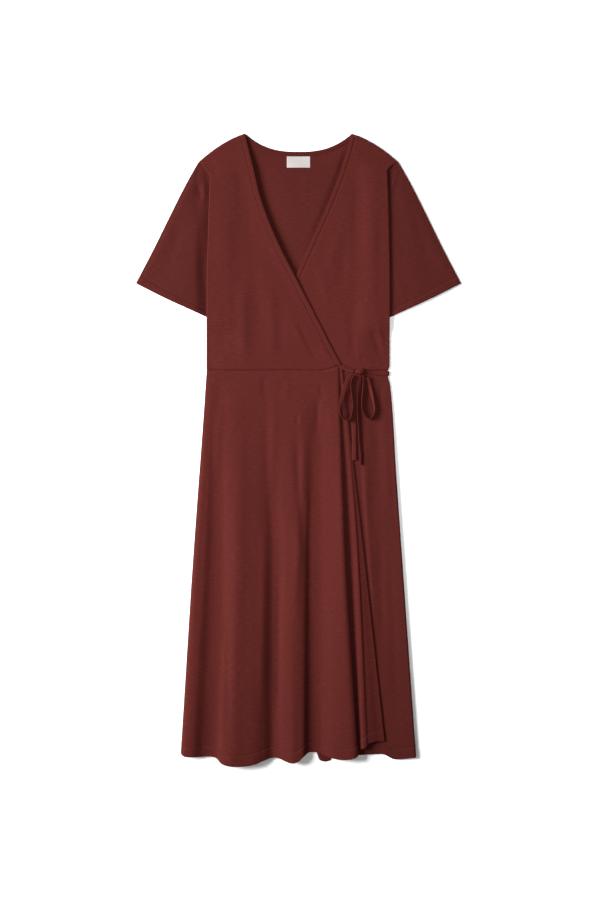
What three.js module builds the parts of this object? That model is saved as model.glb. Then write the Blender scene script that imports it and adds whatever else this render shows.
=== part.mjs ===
// Wrap dress of plain jersey with short sleeves, laid flat with its front up and its tie in a bow.
// Millimetres: +X to the viewer's right, +Y to the neck, +Z up from the surface that it lies on.
import * as THREE from 'three';

// Cloth
const wall = 1.2; // jersey panels
const bandWall = 1.3; // binding round the neck, folded over the edge
const gap = 0.3; // between neighbouring pieces at a seam
const bandWidth = 8.5;
const bandSlant = 5; // how much lower its inner corner ends at the shoulder seam
const tipDrop = 7; // how far below the neck point a front panel ends beside its binding
const tieWidth = 8.4; // turned strap, pressed flat
const tieWall = 2.0;

// Heights of the middle of each layer above the surface, where it lies flat
const backLevel = wall / 2;
const underLevel = 2.5; // front that goes underneath, on the viewer's right
const overLevel = 4.6; // front that crosses over it, on the viewer's left
const seamLevel = backLevel + wall + 0.4; // a front at its seam with the back
const rollWidth = 16; // over which a front rises from that seam

// Places along the length, measured from its middle
const halfLength = 600;
const waist = 150.5;
const waistRise = 9.3; // the waist seam climbs to the tied corner
const waistRiseFrom = 45;
const curveRoom = 0.3; // more room at the seam where it curves
const tiedCorner = 82; // x of the corner that the tie is sewn to

// Neck and shoulders
const neckHalf = 101.6;
const neckDrop = 34.5;
const neckPower = 2.6;
const shoulderPoint = { x: 187.2, y: 547.5 };
const shoulderBow = 6;

// Half widths at the side seams, left and right of the middle
const bodiceSide = [
  { y: 547.5, left: 187.2, right: 187.2 },
  { y: 528.6, left: 175.2, right: 168.0 },
  { y: 517.4, left: 168.0, right: 168.4 },
  { y: 436.0, left: 170.5, right: 170.9 },
  { y: 303.0, left: 173.9, right: 172.9 },
  { y: 160.0, left: 174.2, right: 172.9 },
  { y: 150.5, left: 174.2, right: 170.0 },
];
const skirtSide = [
  { y: 150.5, left: 174.2, right: 169.6 },
  { y: 139.0, left: 175.0, right: 170.0 },
  { y: 122.6, left: 175.8, right: 173.9 },
  { y: -48.5, left: 187.2, right: 185.3 },
  { y: -238.5, left: 202.4, right: 198.6 },
  { y: -428.5, left: 213.8, right: 211.9 },
  { y: -575.0, left: 223.3, right: 222.3 },
];

// Finished front edges of the two crossing fronts
const frontEdge = [
  { y: 600.0, over: -101.6, under: 100.8 },
  { y: 565.0, over: -93.2, under: 91.6 },
  { y: 526.0, over: -83.6, under: 79.4 },
  { y: 488.0, over: -75.0, under: 65.0 },
  { y: 440.0, over: -57.3, under: 44.6 },
  { y: 384.0, over: -32.1, under: 19.6 },
  { y: 330.0, over: -3.8, under: -4.8 },
  { y: 247.0, over: 35.9, under: -38.0 },
  { y: 189.0, over: 65.6, under: -64.0 },
  { y: 150.5, over: 87.0, under: -82.0 },
];

// Hidden front edge of the skirt that goes underneath
const underSkirtEdge = [
  { y: 150.5, x: -82 },
  { y: -575.0, x: -118 },
];

// Folds of the skirt front that crosses over, from the side seam to its front edge.
// x and z at the waist, at the knee of the tuck below the bow, half way down and at the hem; hem is the y of the hem there.
const overSkirtFolds = [
  { fold: 'side seam', x: [-174.2, -181.2, -199.5, -223.3], z: [2.2, 2.2, 2.2, 2.2], hem: -574 },
  { fold: 'side rim', x: [-172, -179, -197.3, -220.5], z: [3.2, 3.8, 6.6, 7.6], hem: -578.5 },
  { fold: 'side roll', x: [-167, -174, -191, -213], z: [4.2, 5.2, 9.6, 11.6], hem: -582.5 },
  { fold: 'side wall', x: [-160, -167.5, -181, -200], z: [4.6, 5.4, 10, 11.2], hem: -583.3 },
  { fold: 'valley a left', x: [-152, -161, -169.5, -187], z: [4.6, 5, 5.8, 6], hem: -583 },
  { fold: 'valley a', x: [-146, -154, -161, -178], z: [4.6, 4.8, 4.8, 4.8], hem: -582.6 },
  { fold: 'valley a right', x: [-139, -146, -150, -166], z: [4.6, 5, 6.4, 6.8], hem: -585.5 },
  { fold: 'shoulder a', x: [-129, -134, -138, -152], z: [4.6, 5.8, 11.6, 13.2], hem: -595.5 },
  { fold: 'crest a', x: [-116, -119, -123, -133], z: [4.6, 6.2, 15, 18], hem: -599.4 },
  { fold: 'shelf a', x: [-95, -98, -100, -106], z: [4.6, 6, 14.4, 18], hem: -599.3 },
  { fold: 'brow a', x: [-80, -84, -80, -82], z: [4.6, 5.6, 13, 16.6], hem: -596.2 },
  { fold: 'wall b', x: [-68, -72, -66, -67], z: [4.6, 5.2, 9.4, 12], hem: -590 },
  { fold: 'valley b', x: [-56, -60, -53, -53], z: [4.6, 4.8, 4.9, 4.8], hem: -585 },
  { fold: 'valley b right', x: [-46, -49, -42, -40], z: [4.6, 5, 6.4, 7.2], hem: -585.4 },
  { fold: 'shoulder b', x: [-34, -37, -31, -27], z: [4.6, 5.6, 11.4, 13.6], hem: -591 },
  { fold: 'crest b', x: [-18, -20, -18, -14], z: [4.6, 5.8, 13, 16.5], hem: -594.6 },
  { fold: 'brow b', x: [-4, 2, 1, 1], z: [4.6, 5.8, 13, 17.2], hem: -591 },
  { fold: 'wall c', x: [8, 16, 12, 9.5], z: [4.6, 5.4, 9.6, 12.5], hem: -582 },
  { fold: 'valley c left', x: [18, 26, 20, 15.5], z: [4.6, 5, 5.2, 5.2], hem: -575 },
  { fold: 'valley c', x: [28, 35, 29, 26], z: [4.6, 4.8, 4.8, 4.8], hem: -573.8 },
  { fold: 'valley c right', x: [37, 43, 39, 34], z: [4.6, 5.2, 7.2, 9], hem: -576.8 },
  { fold: 'shoulder c', x: [46, 51, 49, 40], z: [4.6, 5.8, 12, 15.8], hem: -581 },
  { fold: 'crest c', x: [56, 60, 60, 54], z: [4.6, 6.4, 15.6, 19], hem: -585.5 },
  { fold: 'top c', x: [64, 68, 72, 80], z: [4.6, 6.6, 15.8, 19], hem: -588 },
  { fold: 'brow c', x: [70, 74, 82, 101], z: [4.6, 6.6, 14.8, 18.2], hem: -584.5 },
  { fold: 'fold edge', x: [74.5, 79.5, 89.5, 111.5], z: [4.6, 6.2, 10.2, 13], hem: -580 },
  { fold: 'tuck back', x: [76, 80.5, 86.5, 103], z: [4.6, 5.6, 7.8, 9.2], hem: -577 },
  { fold: 'tuck turn', x: [77.2, 81.6, 83.5, 95], z: [4.6, 5.2, 6.2, 6.8], hem: -575 },
  { fold: 'strip start', x: [78.2, 83, 88, 101], z: [4.6, 4.9, 4.7, 4.6], hem: -571 },
  { fold: 'strip rise', x: [79.2, 85, 97, 111], z: [4.6, 5, 6.4, 8], hem: -568 },
  { fold: 'strip crest', x: [80, 87.4, 106, 119], z: [4.6, 5.2, 9.2, 12.5], hem: -567.5 },
  { fold: 'strip shoulder', x: [80.5, 88.6, 109.5, 126], z: [4.6, 5, 8.2, 11.5], hem: -563.5 },
  { fold: 'strip wall', x: [81, 89.5, 112, 131], z: [4.6, 4.8, 5.4, 6], hem: -559 },
  { fold: 'strip valley', x: [81.3, 90.3, 115, 140], z: [4.6, 4.7, 4.8, 4.7], hem: -554.5 },
  { fold: 'strip lip', x: [81.65, 91, 118.5, 156], z: [4.6, 4.7, 5.6, 5.4], hem: -553.6 },
  { fold: 'front edge', x: [82, 91.8, 121.5, 164.2], z: [4.6, 4.6, 4.6, 4.6], hem: -553.5 },
];
const foldStations = [0, 0.14, 0.483, 1]; // shares of the skirt's length

// Hems of the two skirt layers that lie beneath
const backHem = [
  { x: -223, y: -569.0 },
  { x: -60, y: -572.0 },
  { x: 18, y: -569.0 },
  { x: 34, y: -574.0 },
  { x: 40, y: -589.5 },
  { x: 50, y: -592.8 },
  { x: 60, y: -590.5 },
  { x: 68, y: -578.0 },
  { x: 157, y: -574.5 },
  { x: 184, y: -584.0 },
  { x: 223, y: -580.5 },
];
const underHem = [
  { x: -120, y: -570.0 },
  { x: 20, y: -568.0 },
  { x: 111, y: -580.0 },
  { x: 157, y: -578.0 },
  { x: 184, y: -588.0 },
  { x: 223, y: -584.4 },
];
// Soft folds of that layer where it shows, right of the crossing front
const underSkirtFolds = [
  { xWaist: 104, xHem: 174, rise: 0.0 },
  { xWaist: 132, xHem: 195, rise: 1.4 },
  { xWaist: 152, xHem: 208, rise: 3.0 },
  { xWaist: 163, xHem: 216.5, rise: 4.0 },
  { xWaist: 170, xHem: 222.3, rise: 0.6 },
];

// Sleeves: outer fold from the shoulder point to the cuff, cuff line, and the part under the body
const sleeveFold = [
  { x: 187.5, y: 547.3 },
  { x: 197.7, y: 531.1 },
  { x: 218.6, y: 493.1 },
  { x: 247.1, y: 436.1 },
  { x: 275.2, y: 379.1 },
  { x: 308.4, y: 315.4 },
];
const cuffLine = [
  { x: 308.4, y: 315.4 },
  { x: 259.5, y: 290.5 },
  { x: 173.5, y: 251.0 },
  { x: 158.0, y: 243.5 },
];
// Where the body's side edge starts to lie over the sleeve
const armholeCorner = { left: 517.4, right: 528.6 };
// The armhole down to there, and how it runs on under the body, as shares of the sleeve's width
const armholeRows = [
  { u: 0, y: 547.5 },
  { u: 0.14, y: 528.6 },
  { u: 0.25, y: 517.4 },
  { u: 0.45, x: 161, y: 492 },
  { u: 1, x: 158, y: 420 },
];
const sleeveHeight = 2.7;
const sleeveFullness = 1.8;
const bodyOverSleeve = 3.3; // how far the body's side lifts over it

// Neck label, sewn under the back binding
const label = { width: 44.3, height: 21.7, thickness: 0.8, top: 556.6 };

// Tie: middle line of each strap; turn is 0 where it lies flat and 90 where it stands on edge
const knot = { x: 117, y: 147.6, z: 7.8, halfX: 10.2, halfY: 5.6, halfZ: 4.3 };
const tieStraps = {
  tie_front_strand: [
    { x: 83.6, y: 155.9, z: 6.7, turn: 0 },
    { x: 90.0, y: 153.4, z: 6.4, turn: 5 },
    { x: 98.0, y: 150.8, z: 6.8, turn: 20 },
    { x: 104.6, y: 149.2, z: 8.0, turn: 40 },
  ],
  tie_side_strand: [
    { x: 172.8, y: 144.6, z: 1.6, turn: 0 },
    { x: 171.8, y: 144.6, z: 3.9, turn: 0 },
    { x: 167.5, y: 144.7, z: 4.7, turn: 0 },
    { x: 152.0, y: 145.6, z: 4.6, turn: 0 },
    { x: 140.0, y: 146.6, z: 5.4, turn: 12 },
    { x: 129.4, y: 147.6, z: 7.6, turn: 35 },
  ],
  tie_loop_left: [
    { x: 103.6, y: 141.6, z: 9.8, turn: 30 },
    { x: 95.6, y: 136.0, z: 9.4, turn: 10 },
    { x: 85.5, y: 116.9, z: 8.9, turn: 4 },
    { x: 79.6, y: 90.3, z: 9.2, turn: 6 },
    { x: 79.2, y: 73.2, z: 10.2, turn: 25 },
    { x: 83.6, y: 60.8, z: 11.4, turn: 60 },
    { x: 91.2, y: 55.4, z: 11.6, turn: 85 },
    { x: 99.0, y: 62.7, z: 11.2, turn: 90 },
    { x: 102.4, y: 78.9, z: 10.8, turn: 90 },
    { x: 103.4, y: 101.7, z: 10.6, turn: 90 },
    { x: 107.2, y: 130.2, z: 10.6, turn: 90 },
    { x: 109.2, y: 139.4, z: 11.2, turn: 90 },
  ],
  tie_loop_right: [
    { x: 119.8, y: 140.6, z: 10.4, turn: 90 },
    { x: 120.0, y: 132.1, z: 10.6, turn: 90 },
    { x: 120.4, y: 103.6, z: 10.6, turn: 90 },
    { x: 121.8, y: 78.9, z: 10.0, turn: 90 },
    { x: 127.3, y: 63.7, z: 9.2, turn: 90 },
    { x: 134.9, y: 58.2, z: 8.8, turn: 90 },
    { x: 142.0, y: 65.6, z: 8.6, turn: 84 },
    { x: 143.8, y: 77.0, z: 8.4, turn: 70 },
    { x: 140.6, y: 97.9, z: 7.4, turn: 40 },
    { x: 134.4, y: 120.7, z: 6.8, turn: 15 },
    { x: 128.6, y: 136.2, z: 8.0, turn: 12 },
  ],
  tie_tail_left: [
    { x: 107.6, y: 140.6, z: 5.4, turn: 0 },
    { x: 106.0, y: 120.0, z: 4.7, turn: 0 },
    { x: 105.6, y: 90.0, z: 4.6, turn: 0 },
    { x: 105.3, y: 56.0, z: 4.6, turn: 0 },
    { x: 104.8, y: 30.0, z: 5.6, turn: 0 },
    { x: 104.8, y: 10.0, z: 6.7, turn: 0 },
    { x: 105.4, y: -20.2, z: 6.9, turn: 0 },
  ],
  tie_tail_right: [
    { x: 116.4, y: 140.2, z: 5.2, turn: 0 },
    { x: 115.4, y: 122.6, z: 4.6, turn: 0 },
    { x: 114.6, y: 95.0, z: 4.5, turn: 0 },
    { x: 114.6, y: 65.6, z: 4.5, turn: 0 },
    { x: 115.4, y: 40.0, z: 4.5, turn: 0 },
    { x: 117.0, y: 9.3, z: 4.5, turn: 0 },
    { x: 120.4, y: -11.4, z: 4.9, turn: 5 },
    { x: 119.4, y: -29.6, z: 5.6, turn: 12 },
  ],
};

// Rows and columns of the panels
const neckShares = [0, 0.16, 0.32, 0.46, 0.6, 0.72, 0.83, 0.92, 0.97]; // of the neck's half width
const shoulderShares = [0.59, 0.7, 0.82, 0.92, 1]; // of the shoulder's half width
const overColumns = [0, 0.06, 0.14, 0.24, 0.35, 0.46, 0.57, 0.68, 0.78, 0.86, 0.9, 0.93, 0.955, 0.98, 1];
const bodiceRows = [0, 0.08, 0.16, 0.24, 0.34, 0.48, 0.62, 0.76, 0.88, 0.925, 0.952, 1];
const skirtRows = [0, 0.05, 0.12, 0.22, 0.34, 0.46, 0.58, 0.7, 0.8, 0.9, 0.96, 1];
const overSkirtRows = [0, 0.05, 0.1, 0.14, 0.2, 0.28, 0.37, 0.46, 0.55, 0.64, 0.73, 0.81, 0.88, 0.94, 1];
const columnsPerFold = 2;

const { clamp, lerp, smoothstep, degToRad } = THREE.MathUtils;

// A named column of a table, read between its rows along a curve that never overshoots them, or straight
function read(table, along, column, value, straight = false) {
  const rows = table[0][along] < table.at(-1)[along] ? table : table.toReversed();
  const at = clamp(value, rows[0][along], rows.at(-1)[along]);
  const next = clamp(rows.findIndex((row) => row[along] >= at), 1, rows.length - 1);
  const slope = (i) => (rows[i][column] - rows[i - 1][column]) / (rows[i][along] - rows[i - 1][along]);
  const tangent = (i) => {
    if (i === 0) return slope(1);
    if (i === rows.length - 1) return slope(i);
    const [before, after] = [slope(i), slope(i + 1)];
    return before * after <= 0 ? 0 : (2 * before * after) / (before + after);
  };
  const span = rows[next][along] - rows[next - 1][along];
  const t = (at - rows[next - 1][along]) / span;
  const [start, end] = [rows[next - 1][column], rows[next][column]];
  if (straight) return lerp(start, end, t);
  return (2 * t ** 3 - 3 * t ** 2 + 1) * start + (3 * t ** 2 - 2 * t ** 3) * end
    + span * ((t ** 3 - 2 * t ** 2 + t) * tangent(next - 1) + (t ** 3 - t ** 2) * tangent(next));
}

const steps = (count) => Array.from({ length: count + 1 }, (_, i) => i / count);

// Outline of the whole body
const sideAt = (table, side, y) => (side === 'left' ? -1 : 1) * read(table, 'y', side, y);
const neckY = (x) => halfLength - neckDrop + neckDrop * Math.min(1, Math.abs(x) / neckHalf) ** neckPower;
function shoulderY(x) {
  const t = clamp((Math.abs(x) - neckHalf) / (shoulderPoint.x - neckHalf), 0, 1);
  return lerp(halfLength, shoulderPoint.y, t) + shoulderBow * 4 * t * (1 - t);
}
const overWaist = (x) => waist + waistRise * smoothstep(x, waistRiseFrom, tiedCorner);
// Inner line of the front bindings: as far inside the edge as the binding is wide
function insideEdge(side, y, inset) {
  const step = 4;
  const slope = (read(frontEdge, 'y', side, y + step) - read(frontEdge, 'y', side, y - step)) / (2 * step);
  const inward = side === 'over' ? -1 : 1;
  return read(frontEdge, 'y', side, y) + inward * inset * Math.hypot(1, slope);
}

// Lift of the body where its side lies over a sleeve
function liftOverSleeve(x, y) {
  const corner = x < 0 ? armholeCorner.left : armholeCorner.right;
  return bodyOverSleeve * smoothstep(Math.abs(x), 136, 155)
    * smoothstep(-y, -shoulderPoint.y, -corner) * smoothstep(y, 214, 240);
}
const backHeight = (x, y) => backLevel + liftOverSleeve(x, y);
// A front's height: low at its seams with the back, and up to its own level inside them
const frontHeight = (level) => (x, y) => {
  const side = x < 0 ? 'left' : 'right';
  const table = y > waist ? bodiceSide : skirtSide;
  const inside = Math.min(Math.abs(sideAt(table, side, y)) - Math.abs(x), y > waist ? shoulderY(x) - y : Infinity);
  return seamLevel + (level - seamLevel) * smoothstep(inside, 0, rollWidth) + liftOverSleeve(x, y);
};

// Closed wall of a given thickness about the surface point(u, v), offset along its normals
function sheet(point, columns, rows, thickness = wall) {
  const step = 1e-3;
  const across = new THREE.Vector3();
  const along = new THREE.Vector3();
  const positions = [];
  const add = (u, v, side) => {
    across.subVectors(point(Math.min(1, u + step), v), point(Math.max(0, u - step), v));
    along.subVectors(point(u, Math.min(1, v + step)), point(u, Math.max(0, v - step)));
    const normal = across.cross(along).normalize();
    positions.push(...point(u, v).addScaledVector(normal, (side * thickness) / 2).toArray());
  };
  for (const side of [1, -1]) for (const v of rows) for (const u of columns) add(u, v, side);
  const [nu, nv] = [columns.length, rows.length];
  const index = [];
  const top = (i, j) => j * nu + i;
  const bottom = (i, j) => nu * nv + j * nu + i;
  const quad = (a, b, c, d) => index.push(a, b, c, a, c, d);
  for (let j = 0; j < nv - 1; j++) {
    for (let i = 0; i < nu - 1; i++) {
      quad(top(i, j), top(i + 1, j), top(i + 1, j + 1), top(i, j + 1));
      quad(bottom(i, j), bottom(i, j + 1), bottom(i + 1, j + 1), bottom(i + 1, j));
    }
    quad(top(0, j), top(0, j + 1), bottom(0, j + 1), bottom(0, j));
    quad(top(nu - 1, j), bottom(nu - 1, j), bottom(nu - 1, j + 1), top(nu - 1, j + 1));
  }
  for (let i = 0; i < nu - 1; i++) {
    quad(top(i, 0), bottom(i, 0), bottom(i + 1, 0), top(i + 1, 0));
    quad(top(i, nv - 1), top(i + 1, nv - 1), bottom(i + 1, nv - 1), bottom(i, nv - 1));
  }
  return closed(positions, index);
}

function closed(positions, index) {
  const geometry = new THREE.BufferGeometry();
  geometry.setAttribute('position', new THREE.Float32BufferAttribute(positions, 3));
  geometry.setIndex(index);
  geometry.computeVertexNormals();
  return geometry;
}

// Panel between two side lines x(y), from its lower line y(u) to its upper line y(u)
function panel({ left, right, lower, upper, height, columns, rows, thickness }) {
  const yAt = (u, v) => lerp(lower(u), upper(u), v);
  const point = (u, v) => {
    const x = lerp(left(yAt(0, v)), right(yAt(1, v)), u);
    const y = yAt(u, v);
    return new THREE.Vector3(x, y, height(x, y));
  };
  return sheet(point, columns, rows, thickness);
}

function backBodice() {
  const xTop = (u) => (2 * u - 1) * shoulderPoint.x;
  const inset = bandWidth + gap;
  const neckColumn = neckHalf / shoulderPoint.x;
  const half = neckShares.map((share) => share * neckColumn).concat(shoulderShares);
  const columns = half.slice(1).toReversed().map((share) => (1 - share) / 2).concat(half.map((share) => (1 + share) / 2));
  return panel({
    left: (y) => sideAt(bodiceSide, 'left', y),
    right: (y) => sideAt(bodiceSide, 'right', y),
    lower: () => waist + gap / 2,
    upper: (u) => Math.min(neckY(xTop(u)) - inset * Math.hypot(1, neckSlope(xTop(u))), shoulderY(xTop(u))),
    height: backHeight,
    columns,
    rows: bodiceRows,
  });
}
function neckSlope(x) {
  const share = Math.min(1, Math.abs(x) / neckHalf);
  return (neckDrop * neckPower * share ** (neckPower - 1)) / neckHalf;
}

function frontBodice(side) {
  const over = side === 'over';
  const outer = over ? 'left' : 'right';
  const sideLine = (y) => sideAt(bodiceSide, outer, y);
  const edgeLine = (y) => insideEdge(side, y, bandWidth + gap);
  const edgeBottom = over ? overWaist(tiedCorner) : waist;
  const edgeTop = halfLength - tipDrop;
  const tip = { x: edgeLine(edgeTop), y: edgeTop };
  const edgeU = over ? 1 : 0;
  const xAt = (u, low) => (over ? lerp(low.side, low.edge, u) : lerp(low.edge, low.side, u));
  const upper = (u) => {
    const x = xAt(u, { side: (over ? -1 : 1) * shoulderPoint.x, edge: tip.x });
    return Math.min(shoulderY(x), u === edgeU ? tip.y : Infinity);
  };
  const lower = (u) => {
    const x = xAt(u, { side: sideLine(waist), edge: edgeLine(edgeBottom) });
    return (over ? overWaist(x) + curveRoom * smoothstep(x, waistRiseFrom - 10, waistRiseFrom) : waist) + gap / 2;
  };
  return panel({
    left: over ? sideLine : edgeLine,
    right: over ? edgeLine : sideLine,
    lower,
    upper,
    height: frontHeight(over ? overLevel : underLevel),
    columns: over ? overColumns : steps(13),
    rows: bodiceRows,
  });
}

// Binding along a front edge, from the shoulder seam to the waist
function frontBinding(side) {
  const level = side === 'over' ? overLevel : underLevel;
  const bottom = (side === 'over' ? overWaist(tiedCorner) : waist) + gap;
  const fromEdge = (u) => (side === 'over' ? 1 - u : u);
  return panel({
    left: (y) => (side === 'over' ? insideEdge(side, y, bandWidth) : insideEdge(side, y, 0)),
    right: (y) => (side === 'over' ? insideEdge(side, y, 0) : insideEdge(side, y, bandWidth)),
    lower: () => bottom,
    upper: (u) => halfLength - fromEdge(u) * bandSlant,
    height: (x, y) => frontHeight(level)(x, Math.min(y, shoulderY(x) - bandSlant)),
    columns: steps(2),
    rows: steps(22),
    thickness: bandWall,
  });
}

// Binding round the back of the neck
function backBinding() {
  const shares = neckShares.concat(0.985);
  const columns = shares.slice(1).toReversed().map((share) => (1 - share) / 2).concat(shares.map((share) => (1 + share) / 2));
  const point = (u, v) => {
    const x = (2 * u - 1) * neckHalf;
    const inset = (1 - v) * bandWidth * Math.hypot(1, neckSlope(x));
    return new THREE.Vector3(x, neckY(x) - inset, bandWall / 2);
  };
  return sheet(point, columns, steps(2), bandWall);
}

function backSkirt() {
  const hemHalf = 222.8;
  return panel({
    left: (y) => sideAt(skirtSide, 'left', y),
    right: (y) => sideAt(skirtSide, 'right', y),
    lower: (u) => read(backHem, 'x', 'y', lerp(-hemHalf, hemHalf, u)),
    upper: () => waist - gap / 2,
    height: () => backLevel,
    columns: steps(34),
    rows: skirtRows.filter((_, i) => i % 2 === 0 || i === skirtRows.length - 1),
  });
}

function underSkirt() {
  const edge = (y) => read(underSkirtEdge, 'y', 'x', y);
  const right = (y) => sideAt(skirtSide, 'right', y);
  const height = (x, y) => {
    const down = clamp((waist - y) / (waist - underSkirtEdge[1].y), 0, 1);
    const folds = underSkirtFolds.map((row) => ({ x: lerp(row.xWaist, row.xHem, down), rise: row.rise * down }));
    return frontHeight(underLevel)(x, y) + Math.max(0, read(folds, 'x', 'rise', x));
  };
  return panel({
    left: edge,
    right,
    lower: (u) => read(underHem, 'x', 'y', lerp(edge(underSkirtEdge[1].y), 222.3, u)),
    upper: () => waist - gap / 2,
    height,
    columns: [0, 0.2, 0.4, 0.55, 0.66, 0.72, 0.77, 0.82, 0.86, 0.89, 0.92, 0.945, 0.97, 0.985, 1],
    rows: skirtRows,
  });
}

// Skirt front that crosses over, with its hanging folds and the tuck beside its front edge
function overSkirt() {
  const alongFold = (values, v) => read(foldStations.map((at, i) => ({ at, value: values[i] })), 'at', 'value', v);
  const pointOfFold = (row, v) => new THREE.Vector3(
    alongFold(row.x, v),
    lerp(overWaist(row.x[0]) - gap / 2, row.hem, v),
    alongFold(row.z, v),
  );
  const sections = new Map();
  const section = (v) => {
    if (!sections.has(v)) {
      sections.set(v, new THREE.CatmullRomCurve3(overSkirtFolds.map((row) => pointOfFold(row, v)), false, 'centripetal'));
    }
    return sections.get(v);
  };
  // Rows run from the waist down, so u and v are swapped to keep the face side up
  const columns = steps((overSkirtFolds.length - 1) * columnsPerFold);
  return sheet((u, v) => section(1 - v).getPoint(u), columns, overSkirtRows.map((v) => 1 - v).toReversed());
}

// Sleeve: a flattened tube from its armhole to its cuff
function sleeve(side) {
  const sign = side === 'left' ? -1 : 1;
  const seam = gap + 0.1;
  const armhole = armholeRows.map((row) => ({
    ...row,
    x: row.x ?? Math.abs(sideAt(bodiceSide, side, row.y)) + (row.y >= armholeCorner[side] ? seam : -seam),
  }));
  const cuff = cuffLine.map((row, i) => ({ ...row, u: [0, 0.33, 0.9, 1][i] }));
  const fold = sleeveFold.map((row, i) => ({ ...row, v: i / (sleeveFold.length - 1) }));
  const inner = [{ ...armhole.at(-1), v: 0 }, { ...cuffLine.at(-1), v: 1 }];
  const patch = (axis) => (u, v) => {
    const corners = lerp(lerp(armhole[0][axis], armhole.at(-1)[axis], u), lerp(cuff[0][axis], cuff.at(-1)[axis], u), v);
    return lerp(read(armhole, 'u', axis, u, true), read(cuff, 'u', axis, u), v)
      + lerp(read(fold, 'v', axis, v), read(inner, 'v', axis, v), u) - corners;
  };
  const [px, py] = [patch('x'), patch('y')];
  // Full only clear of the body, and flat at the armhole seam
  const top = (u, v) => {
    const clearOfBody = px(u, v) - Math.abs(sideAt(bodiceSide, side, py(u, v)));
    return sleeveHeight + sleeveFullness * smoothstep(clearOfBody, 1, 22) * smoothstep(u, 0, 0.2) * smoothstep(v, 0, 0.3);
  };
  const shares = [0.02, 0.14, 0.25, 0.36, 0.48, 0.6, 0.7, 0.78, 0.86, 0.97];
  const rows = steps(7);
  const ring = (v, inset) => {
    const width = Math.hypot(px(0, v) - px(1, v), py(0, v) - py(1, v));
    const e = inset / width;
    const place = (u, z) => [sign * px(u, v), py(u, v), z];
    const inside = shares.map((share) => lerp(e, 1 - e, share));
    return [
      place(e, sleeveHeight / 2),
      ...inside.map((u) => place(u, top(u, v) - inset)),
      place(1 - e, sleeveHeight / 2),
      ...inside.toReversed().map((u) => place(u, inset)),
    ];
  };
  return tube(rows.map((v) => ring(v, 0)), rows.map((v) => ring(v, wall)), sign);
}

// Closed wall between an outer and an inner set of rings, open at both ends
function tube(outer, inner, sign) {
  const count = outer[0].length;
  const positions = [...outer, ...inner].flat(2);
  const index = [];
  const at = (layer, j, i) => (layer * outer.length + j) * count + (i % count);
  const quad = (a, b, c, d) => (sign < 0 ? index.push(a, b, c, a, c, d) : index.push(a, c, b, a, d, c));
  for (let i = 0; i < count; i++) {
    for (let j = 0; j < outer.length - 1; j++) {
      quad(at(0, j, i), at(0, j + 1, i), at(0, j + 1, i + 1), at(0, j, i + 1));
      quad(at(1, j, i), at(1, j, i + 1), at(1, j + 1, i + 1), at(1, j + 1, i));
    }
    const end = outer.length - 1;
    quad(at(0, 0, i), at(0, 0, i + 1), at(1, 0, i + 1), at(1, 0, i));
    quad(at(0, end, i), at(1, end, i), at(1, end, i + 1), at(0, end, i + 1));
  }
  return closed(positions, index);
}

function neckLabel() {
  const geometry = new THREE.BoxGeometry(label.width, label.height, label.thickness);
  geometry.translate(0, label.top - label.height / 2, wall + gap + label.thickness / 2);
  return geometry;
}

// Strap swept along its rows, turned about its own middle line
function strap(rows) {
  const [a, b, e] = [tieWidth / 2, tieWall / 2, 0.7];
  const profile = [[a, 0], [a - e, b], [e - a, b], [-a, 0], [e - a, -b], [a - e, -b]];
  const curve = new THREE.CatmullRomCurve3(rows.map((row) => new THREE.Vector3(row.x, row.y, row.z)), false, 'centripetal');
  const up = new THREE.Vector3(0, 0, 1);
  const stations = steps((rows.length - 1) * 2);
  const positions = [];
  for (const t of stations) {
    const tangent = curve.getTangent(t);
    const side = new THREE.Vector3().crossVectors(tangent, up).normalize();
    const face = new THREE.Vector3().crossVectors(side, tangent);
    const place = t * (rows.length - 1);
    const row = Math.min(rows.length - 2, Math.floor(place));
    const turn = degToRad(lerp(rows[row].turn, rows[row + 1].turn, place - row));
    for (const [w, h] of profile) {
      const point = curve.getPoint(t)
        .addScaledVector(side, w * Math.cos(turn) - h * Math.sin(turn))
        .addScaledVector(face, w * Math.sin(turn) + h * Math.cos(turn));
      positions.push(...point.toArray());
    }
  }
  const count = profile.length;
  const index = [];
  const at = (j, i) => j * count + (i % count);
  for (let j = 0; j < stations.length - 1; j++) {
    for (let i = 0; i < count; i++) {
      index.push(at(j, i), at(j + 1, i), at(j + 1, i + 1), at(j, i), at(j + 1, i + 1), at(j, i + 1));
    }
  }
  const last = stations.length - 1;
  for (let i = 1; i < count - 1; i++) {
    index.push(at(0, 0), at(0, i), at(0, i + 1), at(last, 0), at(last, i + 1), at(last, i));
  }
  return closed(positions, index);
}

function tieKnot() {
  const geometry = new THREE.SphereGeometry(1, 14, 9);
  geometry.scale(knot.halfX, knot.halfY, knot.halfZ);
  geometry.translate(knot.x, knot.y, knot.z);
  return geometry;
}

const jersey = (color) => new THREE.MeshStandardMaterial({ color, roughness: 0.85, metalness: 0 });
const frontCloth = jersey(0x6f312c);
const insideCloth = jersey(0x652b27);
const sleeveCloth = jersey(0x612a27);
const tieCloth = jersey(0x7a3a34);
const labelTape = new THREE.MeshStandardMaterial({ color: 0xe9e6e0, roughness: 0.7, metalness: 0 });

const dress = new THREE.Group();
function piece(name, geometry, material) {
  const mesh = new THREE.Mesh(geometry, material);
  mesh.name = name;
  dress.add(mesh);
}

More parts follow.
